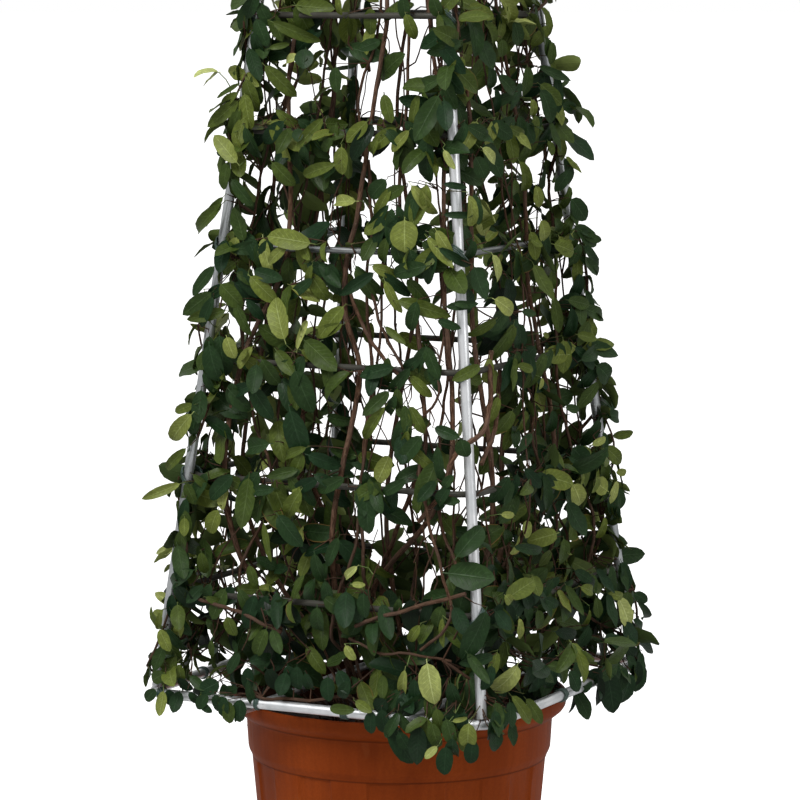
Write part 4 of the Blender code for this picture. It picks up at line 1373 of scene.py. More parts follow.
for wall in range(4):
    for k in range(VINES_PER_WALL):
        share = (k + 0.5) / VINES_PER_WALL + rng.uniform(-0.04, 0.04)
        hold = rng.choice((0.012, 0.020, 0.030, -0.011))
        z = rng.uniform(0.47, 0.60)
        top = rng.choice((0.95, 1.2, 1.5, 1.75, 1.98)) + rng.uniform(-0.08, 0.08)
        heading = side_point(wall + share, 0.5, 0.0)
        reach = rng.uniform(0.28, 0.50)
        foot = (heading.x * reach, heading.y * reach)
        route = climb_wall(wall, share, z, top, hold, 0.11)
        lean = Vector((*foot, SOIL_TOP + STEM_NECK)).lerp(side_point(*route[0]), 0.5)
        climb = [lean + Vector((0, 0, STEM_NECK)), *climb_of(route)]
        radius = rng.uniform(0.0013, 0.0024)
        vine_paths.append(stem_path(foot, climb, radius, VINE_TIP, 30 + k + 9 * wall, young=0.6))
NEAR_STEMS = (
    # radius, then side, height and distance outside the wall
    (0.0024, [(0.62, 0.478, 0.0), (0.70, 0.492, 0.014), (0.85, 0.512, 0.018),
     (0.985, 0.527, 0.020)]),
    (0.0016, [(0.60, 0.465, 0.002), (0.67, 0.459, 0.012), (0.73, 0.452, 0.016),
     (0.78, 0.455, 0.016), (0.84, 0.453, 0.016), (0.93, 0.452, 0.014)]),
    (0.0019, [(0.83, 0.67, 0.004), (0.846, 0.646, 0.012), (0.876, 0.608, 0.014),
     (0.90, 0.572, 0.016), (0.933, 0.524, 0.020), (0.945, 0.506, 0.021), (0.93, 0.489, 0.021),
     (0.90, 0.475, 0.020), (0.84, 0.460, 0.014)]),
    (0.0030, [(1.20, 0.79, 0.002), (1.11, 0.741, 0.012), (1.02, 0.710, 0.018), (0.97, 0.68, 0.018),
     (0.928, 0.648, 0.012), (0.87, 0.622, 0.0), (0.80, 0.60, -0.015)]),
    (0.0026, [(1.25, 0.76, 0.0), (1.17, 0.712, 0.008), (1.10, 0.690, 0.010), (1.03, 0.668, 0.010)]),
    (0.0022, [(0.55, 0.86, 0.0), (0.614, 0.827, 0.008), (0.66, 0.805, 0.010), (0.711, 0.781, 0.010),
     (0.76, 0.765, 0.006)]),
    (0.0018, [(0.62, 0.88, 0.0), (0.675, 0.832, 0.004), (0.72, 0.80, 0.005), (0.758, 0.779, 0.004),
     (0.80, 0.755, 0.0)]),
    (0.0015, [(0.64, 0.81, 0.003), (0.655, 0.785, 0.006), (0.67, 0.75, 0.008), (0.66, 0.717, 0.006),
     (0.655, 0.69, 0.0)]),
    (0.0016, [(0.93, 0.81, 0.0), (0.929, 0.797, 0.006), (0.912, 0.774, 0.010),
     (0.918, 0.752, 0.011), (0.895, 0.735, 0.010), (0.86, 0.722, 0.006)]),
    (0.0022, [(0.06, 0.50, 0.004), (0.11, 0.497, 0.012), (0.21, 0.489, 0.014),
     (0.315, 0.477, 0.012), (0.38, 0.465, 0.002)]),
    (0.0018, [(0.28, 0.40, 0.006), (0.33, 0.392, 0.012), (0.42, 0.39, 0.012), (0.52, 0.394, 0.010),
     (0.60, 0.40, 0.0)]),
)
for thick, route in NEAR_STEMS:
    line = smooth_route([side_point(side, z, -out) for side, z, out in route], 0.01)
    vine_paths.append([{"co": place, "thickness": thick, "young": 0.0} for place in line])
mesh = tube_mesh(vine_paths, bark, 1.0, sides=7, spacing=0.009, wobble=0.012)
add_piece("thin_vines", mesh, "bark")

# %% [markdown]
# ## Leaf blades
# A star jasmine leaf is an ellipse with a drawn-out tip, folded along its midrib, bent back and
# slightly twisted, on a stalk a few millimetres long. Since thousands are needed, a blade has
# only a few dozen faces. It is a thin closed shell, so that it has a real underside, and its
# UV map runs along and across the blade, so the veins of the finish follow it. Six blades with
# different fold, bend and twist are enough for no two neighbours to look alike.

# %% Shape the blades
BLADE_STATIONS = (0.07, 0.22, 0.40, 0.58, 0.76, 0.91)
BLADE_ACROSS = (-1.0, -0.5, 0.0, 0.5, 1.0)
BLADE_THICKNESS, BLADE_LENGTH = 0.0007, 0.055
STALK_RADIUS, STALK_DROP, STALK_BEND = 0.011, 0.004, 0.25
BLADES = (
    # width, fold, bend, twist, wave
    (0.46, 0.22, 0.55, 0.15, 0.06),
    (0.42, 0.34, 0.85, -0.38, 0.04),
    (0.50, 0.14, 0.35, 0.22, 0.06),
    (0.38, 0.46, 1.25, 0.50, 0.03),
    (0.47, 0.28, -0.35, -0.28, 0.07),
    (0.44, 0.30, 0.75, 0.10, 0.05),
)


def half_width(share):
    """The blade's outline: widest a little below the middle, drawn out at the tip."""
    return share**0.58 * (1.0 - share) ** 0.70 / 0.414


def blade_point(share, across, width, fold, bend, twist, wave, sunk=0.0):
    """A point of a blade one unit long, from its base along +X, its face up along +Z."""
    y = half_width(share) * width / 2 * across * (1.0 + 0.07 * math.sin(5.0 * share + 2.2 * across))
    ripple = math.sin(share * 11.0 + across) * half_width(share) * 0.5
    z = abs(y) * fold + wave * abs(across) * ripple - sunk
    roll = twist * share
    y, z = y * math.cos(roll) - z * math.sin(roll), y * math.sin(roll) + z * math.cos(roll)
    turn = bend * share
    x = math.sin(turn) / bend
    drop = (1.0 - math.cos(turn)) / bend
    return Vector((x + z * math.sin(turn), y, z * math.cos(turn) - drop))


def blade_mesh(name, width, fold, bend, twist, wave):
    shell = bmesh.new()
    uv = shell.loops.layers.uv.new("leaf_map")
    under_mark = shell.faces.layers.float.new("underside")
    form = (width, fold, bend, twist, wave)
    spots = {}
    base = shell.verts.new(blade_point(0.0, 0.0, *form))
    tip = shell.verts.new(blade_point(1.0, 0.0, *form))
    sheets = []
    for under in (False, True):
        rows = []
        for i, share in enumerate(BLADE_STATIONS):
            row = []
            for j, across in enumerate(BLADE_ACROSS):
                if under and abs(across) == 1.0:
                    row.append(sheets[0][i][j])
                    continue
                sunk = under * BLADE_THICKNESS / BLADE_LENGTH
                vert = shell.verts.new(blade_point(share, across, *form, sunk))
                spots[vert] = (share, across)
                row.append(vert)
            rows.append(row)
        sheets.append(rows)
    spots[base], spots[tip] = (0.0, 0.0), (1.0, 0.0)

    def add_face(corners, under):
        face = shell.faces.new(corners if under else [corners[0], *corners[:0:-1]])
        face[under_mark] = float(under)
        face.smooth = True
        for loop in face.loops:
            share, across = spots[loop.vert]
            loop[uv].uv = (share, 0.5 + across / 2)

    for under, rows in enumerate(sheets):
        for j in range(4):
            add_face([base, rows[0][j + 1], rows[0][j]], under)
            add_face([tip, rows[-1][j], rows[-1][j + 1]], under)
            for lower, upper in zip(rows, rows[1:]):
                add_face([lower[j], lower[j + 1], upper[j + 1], upper[j]], under)
    stalk = []
    for x in (-0.10, 0.02):
        ring = []
        for k in range(3):
            y, z, _ = round_place(STALK_RADIUS, 2 * math.pi * k / 3, 0.0)
            z -= STALK_DROP + STALK_BEND * min(0.0, x) ** 2
            vert = shell.verts.new((x, y, z))
            spots[vert] = (0.02, 0.0)
            ring.append(vert)
        stalk.append(ring)
    for k in range(3):
        n = (k + 1) % 3
        add_face([stalk[0][k], stalk[0][n], stalk[1][n], stalk[1][k]], False)
    add_face(stalk[0][::-1], False)
    add_face(stalk[1], False)
    for face in shell.faces:
        face.normal_update()
    mesh = bpy.data.meshes.new(name)
    shell.to_mesh(mesh)
    shell.free()
    mesh.set_sharp_from_angle(angle=math.radians(75))
    return mesh


blade_shelf = bpy.data.collections.new("blade_shelf")
scene.collection.children.link(blade_shelf)
for number, form in enumerate(BLADES, start=1):
    mesh = blade_mesh(f"blade_{number}", *form)
    blade_shelf.objects.link(bpy.data.objects.new(mesh.name, mesh))

# %% [markdown]
# ## The tree that hangs the leaves
# Leaves grow in opposite pairs along a shoot. The tree walks along each shoot at an even
# spacing, doubles every point, and aims one leaf to each side. A leaf's direction mixes the
# shoot's heading, the side, the outward direction and a little chance, and it turns its face
# outwards and up to the light. Chance comes from seeds, and each leaf stores a tone of its own.

# %% Tree: leafy shoots


def turn_leaf(tree, aim, face):
    """The turn that points a blade's tip along aim and its upper side towards face."""
    kind = "FunctionNodeAlignRotationToVector"
    turned = add_node(tree, kind, {"Vector": aim}, axis="X")
    return add_node(tree, kind, {"Rotation": turned, "Vector": face}, axis="Z", pivot_axis="X")


leafy_shoots, start = new_tree(
    "leafy_shoots",
    {
        "Blades": "Collection",
        **dict.fromkeys(("Spacing", "Leaf Length", "Spread", "Forward", "Outward"), "Float"),
        **dict.fromkeys(("Droop", "Lift", "Chance"), "Float"),
        "Seed": "Int",
        "Material": "Material",
    },
)
tree = leafy_shoots


def chance(seed, low, high, ident=None, kind="FLOAT"):
    """A random value that changes with the tree's own seed, the same for each equal ident."""
    seed = calc(leafy_shoots, "ADD", start["Seed"], float(seed))
    return random_value(leafy_shoots, low, high, seed, kind, ident)


line = add_node(tree, "GeometryNodeMeshToCurve", {0: start["Geometry"]})
inputs = {"Curve": line, "Length": start["Spacing"]}
spots = add_node(tree, "GeometryNodeCurveToPoints", inputs, mode="LENGTH")
order = add_node(tree, "GeometryNodeInputIndex")
spots = store(tree, spots, "pair", order, data_type="INT")
doubled = add_node(tree, "GeometryNodeDuplicateElements", {0: spots, "Amount": 2}, domain="POINT")
which = find_socket(doubled.node.outputs, "Duplicate Index")
pair = named(tree, "pair", "INT")
leaf_id = calc(tree, "ADD", product(tree, pair, 2.0), which)
heading = vector_calc(tree, "NORMALIZE", named(tree, "heading", "FLOAT_VECTOR"))
outward = vector_calc(tree, "NORMALIZE", named(tree, "outward", "FLOAT_VECTOR"))
sideways = vector_calc(tree, "CROSS_PRODUCT", heading, outward)
sideways = vector_calc(tree, "NORMALIZE", sideways)
way = calc(tree, "SUBTRACT", 1.0, product(tree, which, 2.0))
inputs = {"Axis": heading, "Angle": chance(1, -1.0, 1.0, pair)}
twirl = add_node(tree, "FunctionNodeAxisAngleToRotation", inputs)
sideways = scaled(tree, sideways, way)
sideways = add_node(tree, "FunctionNodeRotateVector", {0: sideways, 1: twirl})
jitter = chance(2, (-1.0, -1.0, -1.0), (1.0, 1.0, 1.0), leaf_id, "FLOAT_VECTOR")
hang = product(tree, chance(8, -1.3, -0.1, leaf_id), start["Droop"])
hang = add_node(tree, "ShaderNodeCombineXYZ", {2: hang})
aim = scaled(tree, heading, start["Forward"])
for part, amount in ((sideways, "Spread"), (outward, "Outward"), (jitter, "Chance")):
    aim = vector_calc(tree, "ADD", aim, scaled(tree, part, start[amount]))
aim = vector_calc(tree, "ADD", aim, hang)
face = chance(3, (-0.65, -0.65, -0.30), (0.65, 0.65, 0.50), leaf_id, "FLOAT_VECTOR")
face = vector_calc(tree, "ADD", face, outward)
lift = add_node(tree, "ShaderNodeCombineXYZ", {2: start["Lift"]})
face = vector_calc(tree, "ADD", face, lift)
turned = turn_leaf(tree, aim, face)
young = named(tree, "young")
smaller = calc(tree, "SUBTRACT", 1.0, product(tree, young, 0.28))
size = product(tree, start["Leaf Length"], chance(4, 0.55, 1.08, leaf_id))
size = product(tree, size, smaller)
kept = calc(tree, "LESS_THAN", chance(5, 0.0, 1.0, leaf_id), named(tree, "leafy"))
kind = chance(6, 0, len(BLADES) - 1, leaf_id, "INT")
leaves = copy_to_points(tree, doubled, start["Blades"], kind, turned, size, kept)
leaves = store(tree, leaves, "tone", chance(7, 0.0, 1.0), domain="INSTANCE")
real = add_node(tree, "GeometryNodeRealizeInstances", {0: leaves})
done = add_node(tree, "GeometryNodeSetMaterial", {0: real, "Material": start["Material"]})
tree.links.new(done, tree.nodes.new("NodeGroupOutput").inputs[0])
print("tree", leafy_shoots.name, len(tree.nodes), "nodes")

# %% [markdown]
# ## Where the shoots grow
# Leafy shoots leave the stems and vines all over the frame's walls. Rows of starting places
# cover each wall, closer together low down, and more shoots follow the hoops and the uprights.
# Each start looks for the nearest stem or vine below it, so no shoot begins in the air, and then
# grows up the wall with a seeded wander and curls outwards at its tip. A list says where the
# plant is open: fewer shoots start there, and those that pass through bear fewer leaves.

# %% Plan the shoots
rng = random.Random(7)
SHOOT_STEP = 0.026
BEARER_BELOW = 0.02
CORNER_ROUNDING = 0.55
bearers = []
for path in stem_paths + vine_paths:
    bearers += [point["co"] for point in path[3::2]]


def nearest_bearer(place):
    """The stem or vine point closest to a place, preferring ones a little under it."""
    goal = place - Vector((0, 0, BEARER_BELOW))
    return min(bearers, key=lambda point: (point - goal).length_squared)


def outward_at(place):
    """Outward level direction at a place, rounded at the frame's corners."""
    flat = Vector((place.x, place.y, 0.0)).normalized()
    walls = [side_normal(k + 0.5) for k in range(4)]
    return max(walls, key=flat.dot).lerp(flat, CORNER_ROUNDING).normalized()


CURL, CURL_SHIFT = 0.004, Vector((7.1, 3.3, 5.7))
FULLY_LEAFY = 0.95


def curl_at(place):
    """A small fixed push, different along each axis, that makes thin twigs curl."""
    spot = place * 30.0
    return CURL * Vector([noise.noise(spot + CURL_SHIFT * k) for k in range(3)])


def shoot_path(route, young, thick=0.0011, leafy=FULLY_LEAFY):
    """A shoot's points with their headings, outward directions, thickness and age."""
    line = smooth_route(route, SHOOT_STEP)
    path = []
    for k, place in enumerate(line):
        share = k / max(1, len(line) - 1)
        ahead = line[min(k + 1, len(line) - 1)] - line[max(k - 1, 0)]
        path.append(
            {
                "co": place + curl_at(place) * min(1.0, k / 3),
                "heading": ahead.normalized(),
                "outward": outward_at(place),
                "thickness": thick * (1.0 - 0.45 * share),
                "young": min(1.0, young + 0.30 * share**3),
                "leafy": leafy * (1.0 - openness(side_of(place), place.z)) if k else 0.0,
            }
        )
    return path


HIGHEST_SHOOT = 2.10
DEEPEST, FURTHEST_OUT = 0.055, -0.022


def clamped(value, lowest, highest):
    return min(highest, max(lowest, value))


def wander_up(side, z, length, inset, young, drop, leafy):
    """A seeded shoot on a wall, from the nearest bearer to a curled tip."""
    place = side_point(side, z, inset)
    route = [nearest_bearer(place), place]
    share, rise = side, z
    travelled, drift = 0.0, rng.uniform(-1.0, 1.0)
    while travelled < length:
        step = rng.uniform(0.035, 0.055)
        travelled += step
        drift = 0.6 * drift + rng.uniform(-0.7, 0.7)
        rise += -step * 0.8 if drop else step * rng.uniform(0.55, 0.95)
        width = max(wall_width(min(rise, 2.05)), 0.06)
        start, end = math.floor(side) + 0.01, math.floor(side) + 0.99
        share = clamped(share + drift * step * 0.6 / width, start, end)
        inset = clamped(inset + rng.uniform(-0.014, 0.011), FURTHEST_OUT, DEEPEST)
        route.append(side_point(share, min(rise, HIGHEST_SHOOT), inset))
    tip = route[-1] + outward_at(route[-1]) * rng.uniform(0.004, 0.022)
    route.append(tip + Vector((0, 0, rng.uniform(-0.012, 0.020))))
    return shoot_path(route, young, leafy=leafy)


OPEN_SPOTS = (
    # side, height, half size along the wall, half size up, share of leaves left out
    (0.70, 1.13, 0.20, 0.08, 0.65), (0.42, 0.97, 0.16, 0.04, 0.50),
    (0.68, 0.80, 0.30, 0.15, 0.90), (0.88, 0.73, 0.12, 0.07, 0.85),
    (0.56, 0.67, 0.12, 0.09, 0.70), (1.06, 0.70, 0.18, 0.12, 0.80),
    (1.10, 0.86, 0.16, 0.10, 0.50), (0.82, 0.58, 0.20, 0.08, 0.90),
    (0.80, 0.48, 0.14, 0.03, 0.70), (0.16, 0.48, 0.14, 0.08, 0.80),
    (0.56, 0.59, 0.07, 0.03, 0.90), (0.86, 0.61, 0.10, 0.05, 0.90),
    (1.20, 0.67, 0.12, 0.05, 0.85), (3.72, 0.48, 0.14, 0.07, 0.80),
    (2.90, 0.54, 0.09, 0.05, 0.90), (2.40, 0.62, 0.14, 0.07, 0.85),
    (2.72, 0.60, 0.28, 0.09, 0.85), (2.83, 0.74, 0.12, 0.08, 0.90),
    (0.58, 0.46, 0.06, 0.03, 0.60), (2.75, 0.80, 0.30, 0.22, 0.92),
    (2.75, 1.12, 0.28, 0.14, 0.75), (2.45, 0.70, 0.18, 0.14, 0.75),
    (3.12, 0.72, 0.16, 0.20, 0.70),
)


def side_of(place):
    """The side number of a place near the frame's walls."""
    wall = max(range(4), key=lambda k: side_normal(k + 0.5).dot(place))
    run = corner_direction(wall + 1) - corner_direction(wall)
    share = 0.5 + place.dot(run.normalized()) / (run.length * corner_radius(place.z))
    return wall + clamped(share, 0.0, 0.999)


def openness(side, z):
    """Share of leaves left out at a side and height, from 0 to 1."""
    most = 0.0
    for middle, height, wide, high, share in OPEN_SPOTS:
        off = ((side - middle) / wide) ** 2 + ((z - height) / high) ** 2
        most = max(most, share * clamped(2.0 - 1.6 * off, 0.0, 1.0))
    return most


def wall_rows(z):
    """Shoots in one row of a wall, from its width at that height."""
    spacing = 0.056 if z < 0.50 else 0.062 if z < 0.66 else 0.066
    return max(1, round(wall_width(z) / spacing))


wall_shoots = [[] for wall in range(4)]
ROW_HEIGHTS = (
    0.40, 0.46, 0.54, 0.62, 0.71, 0.81, 0.92, 1.03, 1.14, 1.25, 1.36, 1.47, 1.58, 1.69, 1.80,
    1.90, 1.99,
)
LOWEST_SHOOT = 0.415
SHOOT_AGES = (0.0, 0.05, 0.12, 0.20, 0.30, 0.38, 0.48, 0.64)
OPEN_SKIP = 0.72
DROP_SHARE, LOWEST_DROP = 0.20, 0.56
# The first two walls face the viewer. Up to a height, their shoots stay behind the placed leaves.
NEAR_WALLS, NEAR_TOP = 2, 1.15
BEHIND_YOUTH, BEHIND_LEAFY = 0.6, 0.72
for wall in range(4):
    for z in ROW_HEIGHTS:
        count = wall_rows(z)
        for k in range(count):
            side = wall + (k + rng.uniform(0.05, 0.95)) / count
            height = max(LOWEST_SHOOT, z + rng.uniform(-0.045, 0.045))
            if rng.random() < OPEN_SKIP * openness(side, height):
                continue
            behind = wall < NEAR_WALLS and height < NEAR_TOP
            young = rng.choice(SHOOT_AGES) * (BEHIND_YOUTH if behind else 1.0)
            inset = rng.uniform(0.018, 0.050) if behind else rng.uniform(-0.012, 0.026)
            length = rng.uniform(0.08, 0.20)
            drop = rng.random() < DROP_SHARE and height > LOWEST_DROP
            leafy = BEHIND_LEAFY if behind else FULLY_LEAFY
            shoot = wander_up(side, height, length, inset, young, drop, leafy)
            wall_shoots[wall].append(shoot)


HOOP_STEP, HOOP_SHOOT_SHARE = 0.045, 0.82


def follow_hoop(wall, z, start_share, length, young):
    """A shoot that runs along a hoop, just outside it, rising and falling a little."""
    share = start_share
    route = [nearest_bearer(side_point(wall + share, z - 0.02, 0.006))]
    way = 1 if start_share < 0.5 else -1
    for _ in range(max(2, round(length / HOOP_STEP))):
        height, inset = z + rng.uniform(-0.006, 0.012), rng.uniform(-0.012, -0.004)
        route.append(side_point(wall + clamped(share, 0.03, 0.97), height, inset))
        share += way * HOOP_STEP / wall_width(z)
    return shoot_path(route, young)


for wall in range(4):
    for z in HOOP_HEIGHTS:
        width = wall_width(z)
        for start_share in (0.04, 0.96, 0.30, 0.70):
            if rng.random() < HOOP_SHOOT_SHARE and width > 0.1:
                length = min(width * 0.34, rng.uniform(0.07, 0.14))
                share = start_share + rng.uniform(-0.02, 0.02)
                shoot = follow_hoop(wall, z, share, length, rng.uniform(0.0, 0.45))
                wall_shoots[wall].append(shoot)


def follow_upright(corner, low, high, young):
    """A shoot that climbs just outside an upright, swaying from side to side."""
    out = corner_direction(corner)
    sideways = Vector((-out.y, out.x, 0.0))
    route = [nearest_bearer(upright_point(corner, low))]
    z, turn = low, rng.uniform(0.0, 6.0)
    while z < high:
        round_it = out * math.cos(turn) + sideways * math.sin(turn)
        away = round_it * rng.uniform(0.011, 0.015)
        route.append(out * corner_radius(z) + away + Vector((0, 0, z)))
        z += rng.uniform(0.020, 0.030)
        turn += rng.uniform(0.5, 1.1)
    return shoot_path(route, young, thick=0.0022)


CORNER_COVER = (
    # corner, lowest, highest, age
    (0, 0.41, 0.52, 0.35), (0, 0.51, 0.64, 0.30), (0, 0.69, 0.82, 0.15), (0, 0.95, 1.10, 0.30),
    (0, 1.10, 1.30, 0.20), (0, 1.36, 1.60, 0.35), (0, 1.64, 1.95, 0.25), (1, 0.42, 0.47, 0.20),
    (1, 1.06, 1.22, 0.20), (1, 1.24, 1.46, 0.35), (1, 1.50, 1.72, 0.15), (1, 1.76, 2.00, 0.40),
    (2, 0.41, 0.51, 0.10), (2, 0.55, 0.70, 0.30), (2, 0.70, 0.81, 0.15), (2, 0.83, 1.00, 0.20),
    (2, 1.00, 1.16, 0.15), (2, 1.18, 1.44, 0.35), (2, 1.48, 1.70, 0.20), (2, 1.76, 2.00, 0.30),
    (3, 0.42, 0.62, 0.20), (3, 0.62, 0.86, 0.10), (3, 0.86, 1.10, 0.10), (3, 1.14, 1.38, 0.30),
    (3, 1.46, 1.92, 0.25),
)
for corner, lowest, highest, young in CORNER_COVER:
    wall_shoots[corner].append(follow_upright(corner, lowest, highest, young))
print("shoots on the walls", [len(paths) for paths in wall_shoots])

# %% Plan the inner, hanging and top shoots
INNER_SHOOTS, TOP_SHOOTS = 34, 16
INNER_JUMP = ((-0.03, 0.03), (-0.03, 0.03), (0.0, 0.05))
TOP_STEPS = (
    # reach from the axis, rise, highest
    ((0.035, 0.06), (0.03, 0.06), HIGHEST_SHOOT),
    ((0.02, 0.055), (0.08, 0.13), 2.165),
)
inner_shoots, hanging_shoots, top_shoots = [], [], []
for k in range(INNER_SHOOTS):
    side = (k + rng.uniform(0.0, 1.0)) / INNER_SHOOTS * 4
    place = side_point(side, rng.uniform(0.36, 0.50), rng.uniform(0.05, 0.16))
    route = [nearest_bearer(place), place]
    for _ in range(2):
        jump = Vector([rng.uniform(low, high) for low, high in INNER_JUMP])
        route.append(route[-1] + outward_at(place) * rng.uniform(0.01, 0.035) + jump)
    inner_shoots.append(shoot_path(route, rng.uniform(0.0, 0.2)))
HANGING = (
    # side, how far over the ring, how far down it hangs, age
    (0.78, 0.022, 0.010, 0.08), (0.86, 0.020, 0.010, 0.10), (0.94, 0.014, 0.006, 0.15),
    (0.05, 0.008, -0.010, 0.30), (1.80, 0.012, 0.000, 0.05), (1.92, 0.012, 0.004, 0.05),
    (2.20, 0.020, 0.030, 0.10), (2.55, 0.018, 0.020, 0.20), (2.90, 0.015, 0.040, 0.10),
    (3.20, 0.020, 0.025, 0.05), (3.60, 0.018, 0.035, 0.25), (3.90, 0.012, 0.010, 0.10),
)
for side, over, down, young in HANGING:
    inside, crest = side_point(side, 0.425, 0.035), side_point(side, 0.428, -over * 0.4)
    low = side_point(side, 0.40 - down * 0.4, -over)
    end = side_point(side, 0.40 - down, -over * 1.1)
    route = [nearest_bearer(inside), inside, crest, low, end]
    hanging_shoots.append(shoot_path(route, young))
for k in range(TOP_SHOOTS):
    turn = 2 * math.pi * k / TOP_SHOOTS + rng.uniform(-0.2, 0.2)
    z = rng.uniform(1.86, 2.06)
    spoke = Vector(round_place(1.0, turn, 0.0))
    place = spoke * rng.uniform(0.02, 0.05) + Vector((0, 0, z))
    route = [nearest_bearer(place), place]
    for reach, rise, highest in TOP_STEPS:
        out = spoke * rng.uniform(*reach)
        route.append(out + Vector((0, 0, min(highest, z + rng.uniform(*rise)))))
    top_shoots.append(shoot_path(route, rng.uniform(0.1, 0.5)))
print("inner, hanging and top shoots", len(inner_shoots), len(hanging_shoots), len(top_shoots))

# %% [markdown]
# ## The nearest leaves
# Three hundred leaves on the two near walls are placed one by one, because they give the plant
# its face. The list says where each leaf starts on the frame, which way its tip points on a clock
# seen from the front, its length and width in centimetres, and its age. Seeded leaves join the
# list: they cover the ring, the lower hoops and the uprights, apart from the stretches that show,
# and thicken a few spots. Each leaf lies in a plane between its wall and the viewer, turned a
# little by chance, and hangs from the nearest shoot.

# %% Tree: single leaves
single_leaves, start = new_tree("single_leaves", {"Blades": "Collection", "Material": "Material"})
tree = single_leaves
aim = named(tree, "aim", "FLOAT_VECTOR")
face = named(tree, "face", "FLOAT_VECTOR")
turned = turn_leaf(tree, aim, face)
size = named(tree, "size", "FLOAT_VECTOR")
leaves = copy_to_points(
    tree, start["Geometry"], start["Blades"], named(tree, "blade"), turned, size
)
end_tree(tree, leaves, start["Material"])
print("tree", single_leaves.name, len(tree.nodes), "nodes")

